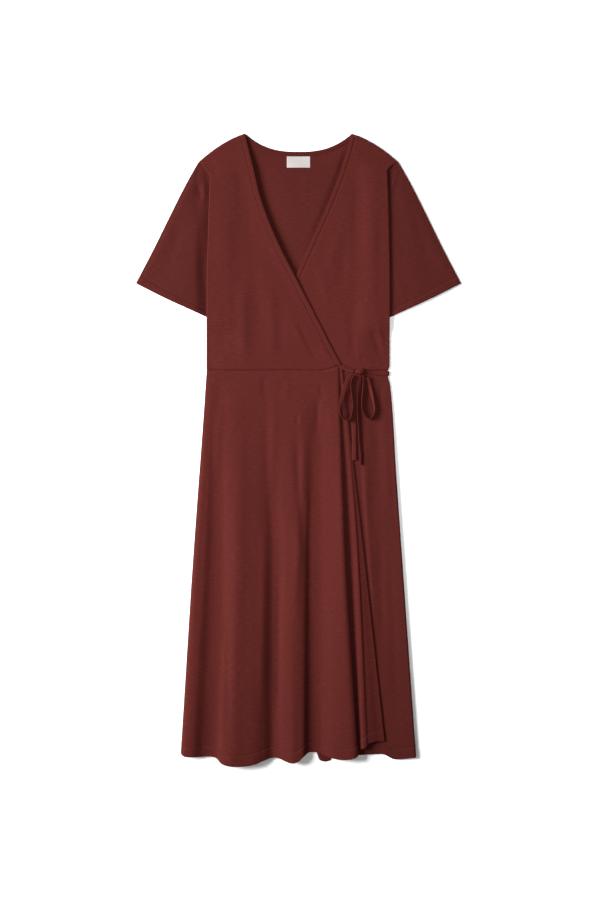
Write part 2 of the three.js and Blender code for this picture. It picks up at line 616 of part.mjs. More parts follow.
piece('back_bodice', backBodice(), insideCloth);
piece('back_skirt', backSkirt(), insideCloth);
piece('front_bodice_under', frontBodice('under'), frontCloth);
piece('front_bodice_over', frontBodice('over'), frontCloth);
piece('front_skirt_under', underSkirt(), frontCloth);
piece('front_skirt_over', overSkirt(), frontCloth);
piece('sleeve_left', sleeve('left'), sleeveCloth);
piece('sleeve_right', sleeve('right'), sleeveCloth);
piece('binding_back_neck', backBinding(), insideCloth);
piece('binding_front_under', frontBinding('under'), frontCloth);
piece('binding_front_over', frontBinding('over'), frontCloth);
piece('neck_label', neckLabel(), labelTape);
for (const [name, rows] of Object.entries(tieStraps)) piece(name, strap(rows), tieCloth);
piece('tie_knot', tieKnot(), tieCloth);

export default dress;
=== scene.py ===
import math

import bpy
import numpy as np
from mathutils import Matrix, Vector


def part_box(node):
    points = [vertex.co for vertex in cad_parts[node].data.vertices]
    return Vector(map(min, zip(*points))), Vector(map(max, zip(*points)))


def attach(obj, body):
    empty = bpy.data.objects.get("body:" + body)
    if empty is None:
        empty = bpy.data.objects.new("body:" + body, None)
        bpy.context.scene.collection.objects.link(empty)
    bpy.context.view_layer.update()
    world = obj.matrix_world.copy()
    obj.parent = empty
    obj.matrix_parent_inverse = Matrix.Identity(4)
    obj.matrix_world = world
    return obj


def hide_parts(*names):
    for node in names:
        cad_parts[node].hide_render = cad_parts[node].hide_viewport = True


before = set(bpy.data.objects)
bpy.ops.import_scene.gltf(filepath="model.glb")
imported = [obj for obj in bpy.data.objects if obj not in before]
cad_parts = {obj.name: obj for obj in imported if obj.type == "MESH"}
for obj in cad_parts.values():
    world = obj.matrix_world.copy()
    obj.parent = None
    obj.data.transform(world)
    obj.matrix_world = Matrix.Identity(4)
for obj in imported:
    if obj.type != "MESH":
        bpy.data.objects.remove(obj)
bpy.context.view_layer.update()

# sizes in the tables are millimetres: +X to the viewer's right, +Y to the neck, +Z up from the floor
mm = 0.001


# the camera looks straight down, as the photo does
cameraSetup = {
    "lens": 85.0,
    "sensor": 36.0,
    "lengthSeen": 1.710,  # metres of floor along the long side of the picture
    "aim": (0.00285, -0.00095),
}


def makeCamera():
    setup = cameraSetup
    height = setup["lens"] / setup["sensor"] * setup["lengthSeen"]
    bpy.ops.object.camera_add(location=(*setup["aim"], height), rotation=(0, 0, 0))
    camera = bpy.context.active_object
    camera.data.lens = setup["lens"]
    camera.data.sensor_width = setup["sensor"]
    bpy.context.scene.camera = camera


makeCamera()
print("camera ready")


def table(names, rows):
    return {name: np.array(column, float) for name, column in zip(names.split(), zip(*rows))}


def lerp(a, b, t):
    return a + (b - a) * t


def smooth(x, low, high):
    t = np.clip((x - low) / (high - low), 0, 1)
    return t * t * (3 - 2 * t)


def rounded(share):
    # rises from 0 to 1 like a quarter of a circle, and falls again past 1
    return np.sqrt(np.maximum(0, 1 - (1 - share) ** 2))


def slopesOf(xs, ys):
    # tangents that never carry a curve past its rows
    steps = np.diff(ys) / np.diff(xs)
    before, after = steps[:-1], steps[1:]
    total = np.where(before + after == 0, 1, before + after)
    inner = np.where(before * after > 0, 2 * before * after / total, 0)
    return np.concatenate([steps[:1], inner, steps[-1:]])


def read(rows, along, column, at):
    xs, ys = rows[along], rows[column]
    if xs[0] > xs[-1]:
        xs, ys = xs[::-1], ys[::-1]
    tangent = slopesOf(xs, ys)
    at = np.clip(at, xs[0], xs[-1])
    i = np.clip(np.searchsorted(xs, at, side="right") - 1, 0, len(xs) - 2)
    span = xs[i + 1] - xs[i]
    t = (at - xs[i]) / span
    return (
        (2 * t**3 - 3 * t**2 + 1) * ys[i] + (3 * t**2 - 2 * t**3) * ys[i + 1]
        + span * ((t**3 - 2 * t**2 + t) * tangent[i] + (t**3 - t**2) * tangent[i + 1])
    )


def curveThrough(points, t):
    # centripetal curve through the points, at places t from 0 to 1 along them
    first, last = 2 * points[0] - points[1], 2 * points[-1] - points[-2]
    p = np.concatenate([first[None], points, last[None]])
    place = np.clip(t, 0, 1) * (len(points) - 1)
    i = np.minimum(place.astype(int), len(points) - 2)
    four = [p[i + k] for k in range(4)]
    knots = [np.zeros_like(place)]
    for a, b in zip(four, four[1:]):
        knots.append(knots[-1] + np.maximum(np.linalg.norm(b - a, axis=-1), 1e-6) ** 0.5)
    at = lerp(knots[1], knots[2], place - i)

    def between(a, b, low, high):
        share = ((at - low) / (high - low))[..., None]
        return a * (1 - share) + b * share

    one = [between(four[k], four[k + 1], knots[k], knots[k + 1]) for k in range(3)]
    two = [between(one[k], one[k + 1], knots[k], knots[k + 2]) for k in range(2)]
    return between(two[0], two[1], knots[1], knots[2])


# heights of the middle of each layer, walls and seams
cloth = {
    "wall": 1.2,
    "band": 1.3,
    "back": 0.6,
    "under": 2.5,
    "over": 4.6,
    "atSeam": 2.2,
    "armholeStep": 1.6,
    "rollLeft": 1.6,
    "rollRight": 3.4,
    "fullness": 2.2,
    "fullnessFrom": 45.0,
    "layerGap": 1.7,
    "seamDip": 1.4,
    "seamDipWidth": 1.7,
}

outline = {
    "halfLength": 600.0,
    "waist": 150.5,
    "waistRise": 9.3,
    "waistRiseFrom": 45.0,
    "corner": 82.0,
    "neckHalf": 101.6,
    "neckDrop": 34.5,
    "neckPower": 2.6,
    "shoulderX": 187.2,
    "shoulderY": 547.5,
    "shoulderBow": 6.0,
    "bandWidth": 8.5,
}

bodiceSide = table("y left right", [
    (547.5, 187.2, 187.2),
    (528.6, 175.2, 168),
    (517.4, 168, 168.4),
    (436, 170.5, 170.9),
    (303, 173.9, 172.9),
    (160, 174.2, 172.9),
    (150.5, 174.2, 170),
])
skirtSide = table("y left right", [
    (150.5, 174.2, 169.6),
    (139, 175, 170),
    (122.6, 175.8, 173.9),
    (-48.5, 187.2, 185.3),
    (-238.5, 202.4, 198.6),
    (-428.5, 213.8, 211.9),
    (-575, 223.3, 222.3),
])
frontEdge = table("y over under", [
    (600, -101.6, 100.8),
    (565, -93.2, 91.6),
    (526, -83.6, 79.4),
    (488, -75, 65),
    (440, -58.8, 44.6),
    (384, -34.6, 19.6),
    (330, -7.2, -4.8),
    (247, 35.9, -38),
    (189, 65.6, -64),
    (150.5, 87, -82),
])


def sideAt(rows, x, y):
    return np.where(x < 0, read(rows, "y", "left", y), read(rows, "y", "right", y))


def neckY(x):
    share = np.minimum(1, np.abs(x) / outline["neckHalf"])
    return outline["halfLength"] - outline["neckDrop"] * (1 - share ** outline["neckPower"])


def neckStretch(x):
    # how much longer a vertical step is than the binding's width across the curve
    share = np.minimum(1, np.abs(x) / outline["neckHalf"])
    power = outline["neckPower"]
    return np.hypot(1, outline["neckDrop"] * power * share ** (power - 1) / outline["neckHalf"])


def shoulderY(x):
    t = np.clip((np.abs(x) - outline["neckHalf"]) / (outline["shoulderX"] - outline["neckHalf"]), 0, 1)
    return lerp(outline["halfLength"], outline["shoulderY"], t) + outline["shoulderBow"] * 4 * t * (1 - t)


def overWaist(x):
    return outline["waist"] + outline["waistRise"] * smooth(x, outline["waistRiseFrom"], outline["corner"])


def insideEdge(side, y, inset):
    step = 4.0
    slope = (read(frontEdge, "y", side, y + step) - read(frontEdge, "y", side, y - step)) / (2 * step)
    inward = -1 if side == "over" else 1
    return read(frontEdge, "y", side, y) + inward * inset * np.hypot(1, slope)


# soft creases, each from one point to another: width is how far it fades to either side,
# and a rise above 0 is a ridge
overBodiceCreases = table("x0 y0 x1 y1 width rise", [
    (-148, 360, -139, 160, 12, -0.9),
    (-108, 330, -102, 152, 12, 2),
    (-84, 372, -73, 200, 11, -0.8),
    (-52, 318, -48, 160, 9, 0.9),
    (-34, 300, -30, 170, 9, -0.5),
    (-126, 560, -124, 400, 14, 0.5),
    (-96, 500, -88, 330, 11, -0.5),
    (-20, 262, 24, 168, 7, 0.7),
    (-2, 240, 34, 170, 5, -0.5),
    (40, 196, 70, 163, 5, 0.9),
    (52, 178, 74, 160, 3, -0.8),
    (-140, 226, -60, 190, 12, 0.4),
])
underBodiceCreases = table("x0 y0 x1 y1 width rise", [
    (111, 520, 108, 380, 14, -0.7),
    (134, 560, 138, 330, 13, 0.6),
    (78, 418, 52, 326, 9, 0.6),
    (92, 400, 76, 296, 9, -0.6),
    (156, 470, 152, 250, 9, -0.5),
    (128, 300, 120, 170, 12, 0.8),
    (138, 226, 158, 176, 6, -1.1),
    (150, 240, 166, 190, 6, 0.8),
    (98, 262, 106, 166, 7, -0.8),
    (112, 190, 116, 158, 3, 0.4),
    (36, 352, 62, 262, 8, 0.6),
])
underSkirtCreases = table("x0 y0 x1 y1 width rise", [
    (148, 110, 154, -120, 10, -1.2),
    (154, -120, 160, -400, 9, -1.2),
    (125, 10, 136, -330, 9, 1.6),
    (126, 60, 128, -120, 8, 0.8),
    (176, 70, 186, -160, 8, -0.6),
    (168, -120, 190, -540, 9, -0.7),
    (158, 134, 154, 70, 5, -0.8),
])
overSkirtCreases = table("x0 y0 x1 y1 width rise", [
    (-2, 66, -2, 48, 3.2, -1.5),
    (3, 62, 4, 50, 3, 0.9),
    (-4, 40, 7, -190, 7.5, -2.4),
    (12, 60, -8, -330, 8, 1.5),
    (44, 138, 33, 26, 6, -1.3),
    (36, 128, 44, 60, 6, 1),
    (-92, 120, -84, -330, 14, -0.5),
    (-108, 60, -112, -450, 12, 0.5),
    (-150, 100, -156, -60, 8, 1.2),
    (-46, 110, -52, -120, 9, 1.2),
    (-36, -180, -40, -560, 6, -1.3),
    (-64, -120, -71, -540, 8, 1.5),
    (-136, -250, -132, -590, 7, -1.2),
    (-168, 60, -196, -420, 7, -0.8),
    (-20, 136, -24, 90, 6, 0.8),
    (-64, 140, -66, 96, 6, -0.8),
])
sleeveCreases = {
    "left": table("x0 y0 x1 y1 width rise", [
        (-192, 538, -193, 508, 4.5, -1.7),
        (-190, 541, -175, 516, 2.2, 0.9),
        (-193, 508, -183, 470, 4, -1.7),
        (-194, 520, -188, 420, 8, -1.3),
        (-190, 440, -182, 300, 9, -1.2),
        (-180, 520, -178, 470, 4, 0.9),
        (-206, 470, -226, 330, 14, 0.5),
        (-214, 440, -262, 318, 12, -0.4),
        (-236, 420, -286, 330, 11, 0.4),
    ]),
    "right": table("x0 y0 x1 y1 width rise", [
        (186, 544, 170, 488, 2.4, -2),
        (191, 544, 175, 494, 2.6, 1.2),
        (194, 540, 182, 484, 2.6, -1.2),
        (196, 500, 222, 380, 12, 0.5),
        (210, 470, 256, 330, 12, -0.4),
        (234, 430, 284, 326, 11, 0.4),
        (182, 350, 202, 276, 9, 0.5),
    ]),
}


def creaseHeight(rows, x, y):
    total = np.zeros_like(x)
    for x0, y0, x1, y1, width, rise in zip(*rows.values()):
        length = math.hypot(x1 - x0, y1 - y0)
        dx, dy = (x1 - x0) / length, (y1 - y0) / length
        along = ((x - x0) * dx + (y - y0) * dy) / length
        aside = (x - x0) * dy - (y - y0) * dx
        fade = smooth(along, -0.05, 0.35) * smooth(-along, -1.05, -0.65)
        total += rise * np.exp(-((aside / width) ** 2)) * fade
    return total + unevenness(x, y)


def unevenness(x, y):
    # the slight hand of cloth that was smoothed down
    return (
        0.22 * np.sin(x / 23 + 1.7 * np.sin(y / 61)) * np.sin(y / 47 + 0.8)
        + 0.12 * np.sin(x / 9.5 + y / 71) * np.sin(y / 29 + x / 83)
    )


# the body's sides lie over the sleeves
overSleeve = {
    "liftLeft": 3.4, "liftRight": 4.3, "from": 104.0, "to": 156.0, "cuffLow": 214.0, "cuffHigh": 240.0,
    "left": 517.4, "right": 528.6, "startLeft": 0.55,
}


def liftOverSleeve(x, y):
    setup = overSleeve
    corner = np.where(x < 0, setup["left"], setup["right"])
    down = np.clip((outline["shoulderY"] - y) / (outline["shoulderY"] - corner), 0, 1)
    lift = np.where(x < 0, setup["liftLeft"], setup["liftRight"])
    belowTip = np.where(x < 0, smooth(down, setup["startLeft"], 1.0), smooth(down, 0, 1.0))
    return (
        lift * smooth(np.abs(x), setup["from"], setup["to"])
        * belowTip * smooth(y, setup["cuffLow"], setup["cuffHigh"])
    )


def insideOutline(x, y):
    bodice = y > outline["waist"]
    side = np.where(bodice, sideAt(bodiceSide, x, y), sideAt(skirtSide, x, y)) - np.abs(x)
    return np.maximum(np.where(bodice, np.minimum(side, shoulderY(x) - y), side), 0)


def seamDip(distance):
    return -cloth["seamDip"] * np.exp(-((distance / cloth["seamDipWidth"]) ** 2))


# at the left armhole, below the shoulder, the body's edge stands higher; the last pair is for -y
armholeSpot = {"out": (150.0, 164.0), "up": (510.0, 520.0), "down": (-546.0, -538.0)}


def rolled(level, x, y):
    inside = insideOutline(x, y)
    share = np.clip(inside / np.where(x < 0, cloth["rollLeft"], cloth["rollRight"]), 0, 1)
    full = cloth["fullness"] * smooth(inside, 0, cloth["fullnessFrom"])
    spot = armholeSpot
    beside = smooth(-x, *spot["out"]) * smooth(y, *spot["up"]) * smooth(-y, *spot["down"])
    seam = cloth["atSeam"] + cloth["armholeStep"] * beside
    return seam + (level - seam) * rounded(share) + full + liftOverSleeve(x, y)


# the neck edge of the crossing front stands a little off the cloth below it
neckStand = {"rise": 2.3, "width": 24.0, "low": 250.0, "lowFull": 360.0, "high": 590.0, "highFull": 520.0}


def neckLift(x, y):
    setup = neckStand
    inside = read(frontEdge, "y", "over", y) - x
    range_ = smooth(y, setup["low"], setup["lowFull"]) * smooth(-y, -setup["high"], -setup["highFull"])
    return setup["rise"] * np.exp(-((inside / setup["width"]) ** 2)) * range_


bandSeam = {"dip": 0.4, "width": 1.2}


def bandDip(side, x, y):
    # the line where the binding is sewn on lies a little lower
    edge = insideEdge(side, y, 0)
    inside = (x - edge) / (insideEdge(side, y, 1) - edge)
    line = np.exp(-(((inside - outline["bandWidth"]) / bandSeam["width"]) ** 2))
    return -bandSeam["dip"] * line * smooth(insideOutline(x, y), 2, 12)


def underBodiceHeight(x, y):
    shown = smooth(x, -40, 20)
    creases = creaseHeight(underBodiceCreases, x, y)
    return (
        rolled(cloth["under"], x, y) + bandDip("under", x, y)
        + creases * shown * smooth(insideOutline(x, y), 2, 20)
        + seamDip(y - outline["waist"])
    )


def overBodiceHeight(x, y):
    free = (
        rolled(cloth["over"], x, y)
        + creaseHeight(overBodiceCreases, x, y) * smooth(insideOutline(x, y), 2, 20)
        + neckLift(x, y) + bandDip("over", x, y)
    )
    # past the hidden edge of the front below, it comes down again
    past, fade = 30, 20
    beside = smooth(read(frontEdge, "y", "under", y) - past - x, -fade, 0)
    floor_ = underBodiceHeight(x, y) - seamDip(y - outline["waist"]) + cloth["layerGap"]
    lowest = lerp(floor_, free, beside)
    return np.maximum(free, lowest) + seamDip(y - overWaist(x))


backRise = {"height": 2.4, "left": 60.0, "right": 12.0, "low": 350.0, "high": 480.0}


def backHeight(x, y):
    # inside the neck the back bulges a little and dips under both fronts
    setup = backRise
    left = x - read(frontEdge, "y", "over", y)
    right = read(frontEdge, "y", "under", y) - x
    bulge = smooth(left, 0, setup["left"]) * smooth(right, -1, setup["right"])
    bulge = bulge * smooth(y, setup["low"], setup["high"])
    top = smooth(neckY(x) - y, 6, 34)
    return cloth["back"] + liftOverSleeve(x, y) + setup["height"] * bulge * top


# pieces from grids
def deselectAll():
    bpy.ops.object.select_all(action="DESELECT")


def newPiece(name, add, **settings):
    deselectAll()
    add(**settings)
    piece = bpy.context.active_object
    piece.name = piece.data.name = name
    return piece


def weld(threshold):
    bpy.ops.object.mode_set(mode="EDIT")
    bpy.ops.mesh.select_all(action="SELECT")
    bpy.ops.mesh.remove_doubles(threshold=threshold)
    bpy.ops.object.mode_set(mode="OBJECT")


def spaced(*runs):
    # (start, end, count) runs joined into one rising list of places
    parts = [np.linspace(start, end, count, endpoint=False) for start, end, count in runs]
    return np.concatenate([*parts, [runs[-1][1]]])


def applyModifier(kind, **settings):
    bpy.ops.object.modifier_add(type=kind)
    modifier = bpy.context.active_object.modifiers[-1]
    for key, value in settings.items():
        setattr(modifier, key, value)
    bpy.ops.object.modifier_apply(modifier=modifier.name)


def gridPiece(name, surface, us, vs, fromEnd=False):
    cells = {"x_subdivisions": len(us) - 1, "y_subdivisions": len(vs) - 1}
    piece = newPiece(name, bpy.ops.mesh.primitive_grid_add, size=2, **cells)
    mesh = piece.data
    flat = np.empty(len(mesh.vertices) * 3)
    mesh.vertices.foreach_get("co", flat)
    flat = flat.reshape(-1, 3)
    i = np.rint((flat[:, 0] + 1) / 2 * (len(us) - 1)).astype(int)
    j = np.rint((flat[:, 1] + 1) / 2 * (len(vs) - 1)).astype(int)
    gridU, gridV = np.meshgrid(us, vs)
    points = surface(gridU, gridV)
    mesh.vertices.foreach_set("co", (points[j, i] * mm).ravel())
    # the piece's own pattern map, in metres along the cloth
    across = np.linalg.norm(np.diff(points, axis=1), axis=-1)
    along = np.linalg.norm(np.diff(points, axis=0), axis=-1)
    mapU = np.pad(np.cumsum(across, axis=1), ((0, 0), (1, 0)))
    mapU = mapU - mapU[:, len(us) // 2][:, None]
    mapV = np.pad(np.cumsum(along, axis=0), ((1, 0), (0, 0)))
    if fromEnd:
        mapV = mapV - mapV[-1]
    corners = np.empty(len(mesh.loops), int)
    mesh.loops.foreach_get("vertex_index", corners)
    places = np.stack([mapU[j, i], mapV[j, i]], axis=-1)[corners] * mm
    mesh.uv_layers.active.data.foreach_set("uv", places.ravel())
    mesh.update()
    return piece


def thicken(wall, rim=0.35):
    # works on the active piece, as weld and closeTube do
    applyModifier("SOLIDIFY", thickness=wall * mm, offset=0)
    applyModifier("BEVEL", width=rim * mm, segments=2, limit_method="ANGLE", angle_limit=math.radians(62))
    bpy.ops.object.mode_set(mode="EDIT")
    bpy.ops.mesh.select_all(action="SELECT")
    bpy.ops.mesh.normals_make_consistent(inside=False)
    bpy.ops.object.mode_set(mode="OBJECT")
    bpy.ops.object.shade_smooth_by_angle(angle=math.radians(50))


def closeTube():
    # joins the last column to the first and shuts the ends
    weld(0.00001)
    bpy.ops.object.mode_set(mode="EDIT")
    bpy.ops.mesh.select_all(action="DESELECT")
    bpy.ops.mesh.select_mode(type="EDGE")
    bpy.ops.mesh.select_non_manifold()
    bpy.ops.mesh.fill_holes(sides=0)
    bpy.ops.mesh.select_all(action="SELECT")
    bpy.ops.mesh.normals_make_consistent(inside=False)
    bpy.ops.object.mode_set(mode="OBJECT")


def panelSurface(left, right, lower, upper, height):
    def surface(u, v):
        zero, one = np.zeros_like(v), np.ones_like(v)
        y = lerp(lower(u), upper(u), v)
        x = lerp(
            left(lerp(lower(zero), upper(zero), v)),
            right(lerp(lower(one), upper(one), v)),
            u,
        )
        return np.stack([x, y, height(x, y)], axis=-1)

    return surface


# the material key picks the lit jersey, one of its darker copies that paint shade, or the label tape
def finishPiece(piece, node, materialKey="front"):
    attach(piece, "root")
    if node:
        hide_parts(node)
    piece.data.materials.clear()
    piece.data.materials.append(materials[materialKey])


# materials
class Shade:
    # a socket of a material's node tree; sums on it add Math nodes
    def __init__(self, tree, socket=None):
        self.tree, self.socket = tree, socket

    def node(self, kind, settings=(), sockets=(), out=0):
        made = self.tree.nodes.new(kind)
        for key, value in dict(settings).items():
            setattr(made, key, value)
        for key, value in dict(sockets).items():
            if isinstance(value, Shade):
                self.tree.links.new(value.socket, made.inputs[key])
            else:
                made.inputs[key].default_value = value
        return Shade(self.tree, made.outputs[out] if len(made.outputs) else None)

    def maths(self, operation, a, b=0.0):
        return self.node("ShaderNodeMath", {"operation": operation}, {0: a, 1: b})

    def __add__(self, other):
        return self.maths("ADD", self, other)

    def __sub__(self, other):
        return self.maths("SUBTRACT", self, other)

    def __rsub__(self, other):
        return self.maths("SUBTRACT", other, self)

    def __mul__(self, other):
        return self.maths("MULTIPLY", self, other)

    __radd__, __rmul__ = __add__, __mul__

    def sine(self):
        return self.maths("SINE", self)

    def mixed(self, factor, low, high):
        return self.node("ShaderNodeMix", {"data_type": "RGBA"}, {0: factor, 6: low, 7: high}, out=2)

    def clamped(self):
        return self.node("ShaderNodeClamp", {}, {"Value": self})


def startMaterial(name):
    material = bpy.data.materials.new(name)
    material.use_nodes = True
    material.node_tree.nodes.clear()
    return material, Shade(material.node_tree)


def finishMaterial(shade, sockets):
    surface = shade.node("ShaderNodeBsdfPrincipled", {}, sockets)
    shade.node("ShaderNodeOutputMaterial", {}, {"Surface": surface})


def noiseOn(shade, place, scale, detail, roughness=0.5):
    spread = shade.node("ShaderNodeMapping", {}, {"Vector": place, "Scale": scale})
    return shade.node(
        "ShaderNodeTexNoise", {},
        {"Vector": spread, "Scale": 1.0, "Detail": detail, "Roughness": roughness},
    )


jerseyLook = {
    "dark": (0.068, 0.0118, 0.0094, 1),
    "mid": (0.080, 0.0143, 0.0116, 1),
    "light": (0.099, 0.0188, 0.0154, 1),
    "streak": (70.0, 520.0, 1.0),  # cells to the metre, across and along
    "cloud": (14.0, 9.0, 1.0),
    "wale": 0.0011,
    "course": 0.0009,
}


# a tone below 1 darkens the jersey, painting the shade a part lies in
def toned(colour, paintedShadeTone):
    return (*[channel * paintedShadeTone for channel in colour[:3]], 1)


def jerseyMaterial(name, paintedShadeTone):
    look = jerseyLook
    material, shade = startMaterial(name)
    place = shade.node("ShaderNodeUVMap", {"uv_map": "UVMap"})
    parts = shade.node("ShaderNodeSeparateXYZ", {}, {"Vector": place})
    across = parts
    along = Shade(parts.tree, parts.socket.node.outputs[1])
    streak = noiseOn(shade, place, look["streak"], 4.0, 0.6)
    cloud = noiseOn(shade, place, look["cloud"], 2.0)
    dark, mid, light = [toned(look[key], paintedShadeTone) for key in ("dark", "mid", "light")]
    darker = shade.mixed(((streak - 0.36) * 4.0).clamped(), dark, mid)
    fibre = shade.mixed(((streak * 0.8 + cloud * 0.3 - 0.56) * 3.0).clamped(), darker, light)
    wale = (across * (2 * math.pi / look["wale"])).sine()
    course = (along * (2 * math.pi / look["course"]) + wale * 1.2).sine()
    knit = wale * 0.5 + course * 0.35
    soft = noiseOn(shade, place, (120.0, 190.0, 1.0), 2.0)
    fine = shade.node("ShaderNodeBump", {}, {"Strength": 0.30, "Distance": 0.00025, "Height": knit})
    hand = shade.node(
        "ShaderNodeBump", {}, {"Strength": 0.35, "Distance": 0.0012, "Height": soft, "Normal": fine},
    )
    finishMaterial(shade, {
        "Base Color": fibre,
        "Roughness": 0.74 + streak * 0.2,
        "Normal": hand,
        "Specular IOR Level": 0.14,
        "Sheen Weight": 0.07,
        "Sheen Roughness": 0.4,
        "Sheen Tint": (0.95, 0.42, 0.36, 1),
    })
    return material


def labelMaterial():
    material, shade = startMaterial("label_tape")
    place = shade.node("ShaderNodeTexCoord", out=3)
    parts = shade.node("ShaderNodeSeparateXYZ", {}, {"Vector": place})
    along = Shade(parts.tree, parts.socket.node.outputs[1])
    ribs = (along * (2 * math.pi / 0.0007)).sine()
    grain = noiseOn(shade, place, (500.0, 2200.0, 500.0), 2.0)
    tape = shade.mixed(grain, (0.320, 0.296, 0.284, 1), (0.400, 0.370, 0.356, 1))
    weave = shade.node("ShaderNodeBump", {}, {"Strength": 0.25, "Distance": 0.0001, "Height": ribs + grain})
    finishMaterial(shade, {
        "Base Color": tape,
        "Roughness": 0.42 + grain * 0.2,
        "Normal": weave,
        "Sheen Weight": 0.1,
    })
    return material


def threadMaterial():
    material, shade = startMaterial("thread")
    place = shade.node("ShaderNodeTexCoord", out=3)
    grain = noiseOn(shade, place, (900.0, 900.0, 900.0), 2.0)
    colour = shade.mixed(grain, (0.050, 0.0085, 0.0070, 1), (0.080, 0.014, 0.011, 1))
    finishMaterial(shade, {"Base Color": colour, "Roughness": 0.6 + grain * 0.2, "Specular IOR Level": 0.15})
    return material


# front is the lit jersey; back, under, sleeve and tie are darker copies of it that paint shade: on the back
# panels seen inside the neck, on the under skirt beside the tuck, on the sleeves and back neck binding, and
# slightly on the tie
materials = {
    "front": jerseyMaterial("jersey", 1.0),
    "back": jerseyMaterial("jersey_back_painted_shade", 0.92),
    "under": jerseyMaterial("jersey_under_painted_shade", 0.90),
    "sleeve": jerseyMaterial("jersey_sleeve_painted_shade", 0.87),
    "tie": jerseyMaterial("jersey_tie_painted_shade", 0.98),
    "label_tape": labelMaterial(),
}
threadFinish = threadMaterial()
print("materials ready")


# how far a piece stops short of the seam or edge next to it
room = {"waist": 0.1, "front": 0.15, "back": 0.2, "bandEnd": 0.3, "tip": 3.8, "bandTip": 3.2}


# body panels
def backBodice():
    topX = lambda u: (2 * u - 1) * outline["shoulderX"]
    inset = outline["bandWidth"] + room["back"]
    surface = panelSurface(
        left=lambda y: -read(bodiceSide, "y", "left", y),
        right=lambda y: read(bodiceSide, "y", "right", y),
        lower=lambda u: np.full_like(u, outline["waist"] + room["waist"]),
        upper=lambda u: np.minimum(neckY(topX(u)) - inset * neckStretch(topX(u)), shoulderY(topX(u))),
        height=backHeight,
    )
    us = spaced((0, 0.1, 12), (0.1, 0.25, 14), (0.25, 0.75, 60), (0.75, 0.9, 14), (0.9, 1, 12))
    piece = gridPiece("back_bodice_cloth", surface, us, spaced((0, 0.9, 60), (0.9, 1, 16)))
    thicken(cloth["wall"])
    # the back's darker copy of the jersey paints the shade inside the neck
    finishPiece(piece, "back_bodice", "back")


backHem = table("x y", [
    (-223, -569), (-60, -572), (18, -569), (34, -574), (40, -589.5), (50, -592.8),
    (60, -590.5), (68, -578), (157, -574.5), (184, -584), (223, -580.5),
])
underHem = table("x y", [
    (-120, -570), (20, -568), (111, -580), (157, -578), (184, -588), (223, -584.4),
])
underSkirtEdge = {"top": -82.0, "bottom": -118.0}
hem = {"depth": 20.0, "fullness": 0.55, "groove": 0.8, "grooveWidth": 1.6}


def hemRelief(distance):
    # doubled cloth below the stitch line, and the line itself pressed in
    setup = hem
    doubled = setup["fullness"] * smooth(setup["depth"] - distance, -1.0, 1.0)
    return doubled - setup["groove"] * np.exp(-(((distance - setup["depth"]) / setup["grooveWidth"]) ** 2))


skirtRows = spaced((0, 0.024, 6), (0.024, 0.034, 6), (0.034, 0.97, 90), (0.97, 1, 10))


def backSkirt():
    surface = panelSurface(
        left=lambda y: -read(skirtSide, "y", "left", y),
        right=lambda y: read(skirtSide, "y", "right", y),
        lower=lambda u: read(backHem, "x", "y", lerp(-223.0, 223.0, u)),
        upper=lambda u: np.full_like(u, outline["waist"] - room["waist"]),
        height=lambda x, y: np.full_like(x, cloth["back"]),
    )
    piece = gridPiece("back_skirt_cloth", surface, np.linspace(0, 1, 160), spaced((0, 1, 60)))
    thicken(cloth["wall"])
    # the back's darker copy of the jersey, which paints shade
    finishPiece(piece, "back_skirt", "back")


def frontBodice(side):
    over = side == "over"
    sign = -1 if over else 1
    outer = "left" if over else "right"
    sideLine = lambda y: sign * read(bodiceSide, "y", outer, y)
    edgeLine = lambda y: insideEdge(side, y, outline["bandWidth"] + room["front"])
    tipY = outline["halfLength"] - room["tip"]
    tipX = float(edgeLine(np.array(tipY)))
    lowY = float(overWaist(outline["corner"])) if over else outline["waist"]
    lowX = float(edgeLine(np.array(lowY)))
    sideX = sign * outline["shoulderX"]
    waistX = float(sideLine(np.array(outline["waist"])))
    across = (lambda u, a, b: lerp(a, b, u)) if over else (lambda u, a, b: lerp(b, a, u))
    edgeU = 1 if over else 0

    def upper(u):
        top = shoulderY(across(u, sideX, tipX))
        return np.where(u == edgeU, np.minimum(top, tipY), top)

    def lower(u):
        x = across(u, waistX, lowX)
        return (overWaist(x) if over else np.full_like(u, outline["waist"])) + room["waist"]

    surface = panelSurface(
        left=sideLine if over else edgeLine,
        right=edgeLine if over else sideLine,
        lower=lower,
        upper=upper,
        height=overBodiceHeight if over else underBodiceHeight,
    )
    us = spaced((0, 0.03, 12), (0.03, 0.1, 12), (0.1, 1, 100))
    if not over:
        us = 1 - us[::-1]
    vs = spaced((0, 0.02, 8), (0.02, 0.9, 110), (0.9, 1, 24))
    piece = gridPiece(f"front_bodice_{side}_cloth", surface, us, vs)
    thicken(cloth["wall"])
    finishPiece(piece, f"front_bodice_{side}")


# the binding's rounding; by the shoulder seam it takes the height that its piece has a little lower down
band = {"domeOver": 0.36, "domeUnder": 0.16, "sink": 0.12, "lowest": 2.1, "belowShoulder": 5.0}


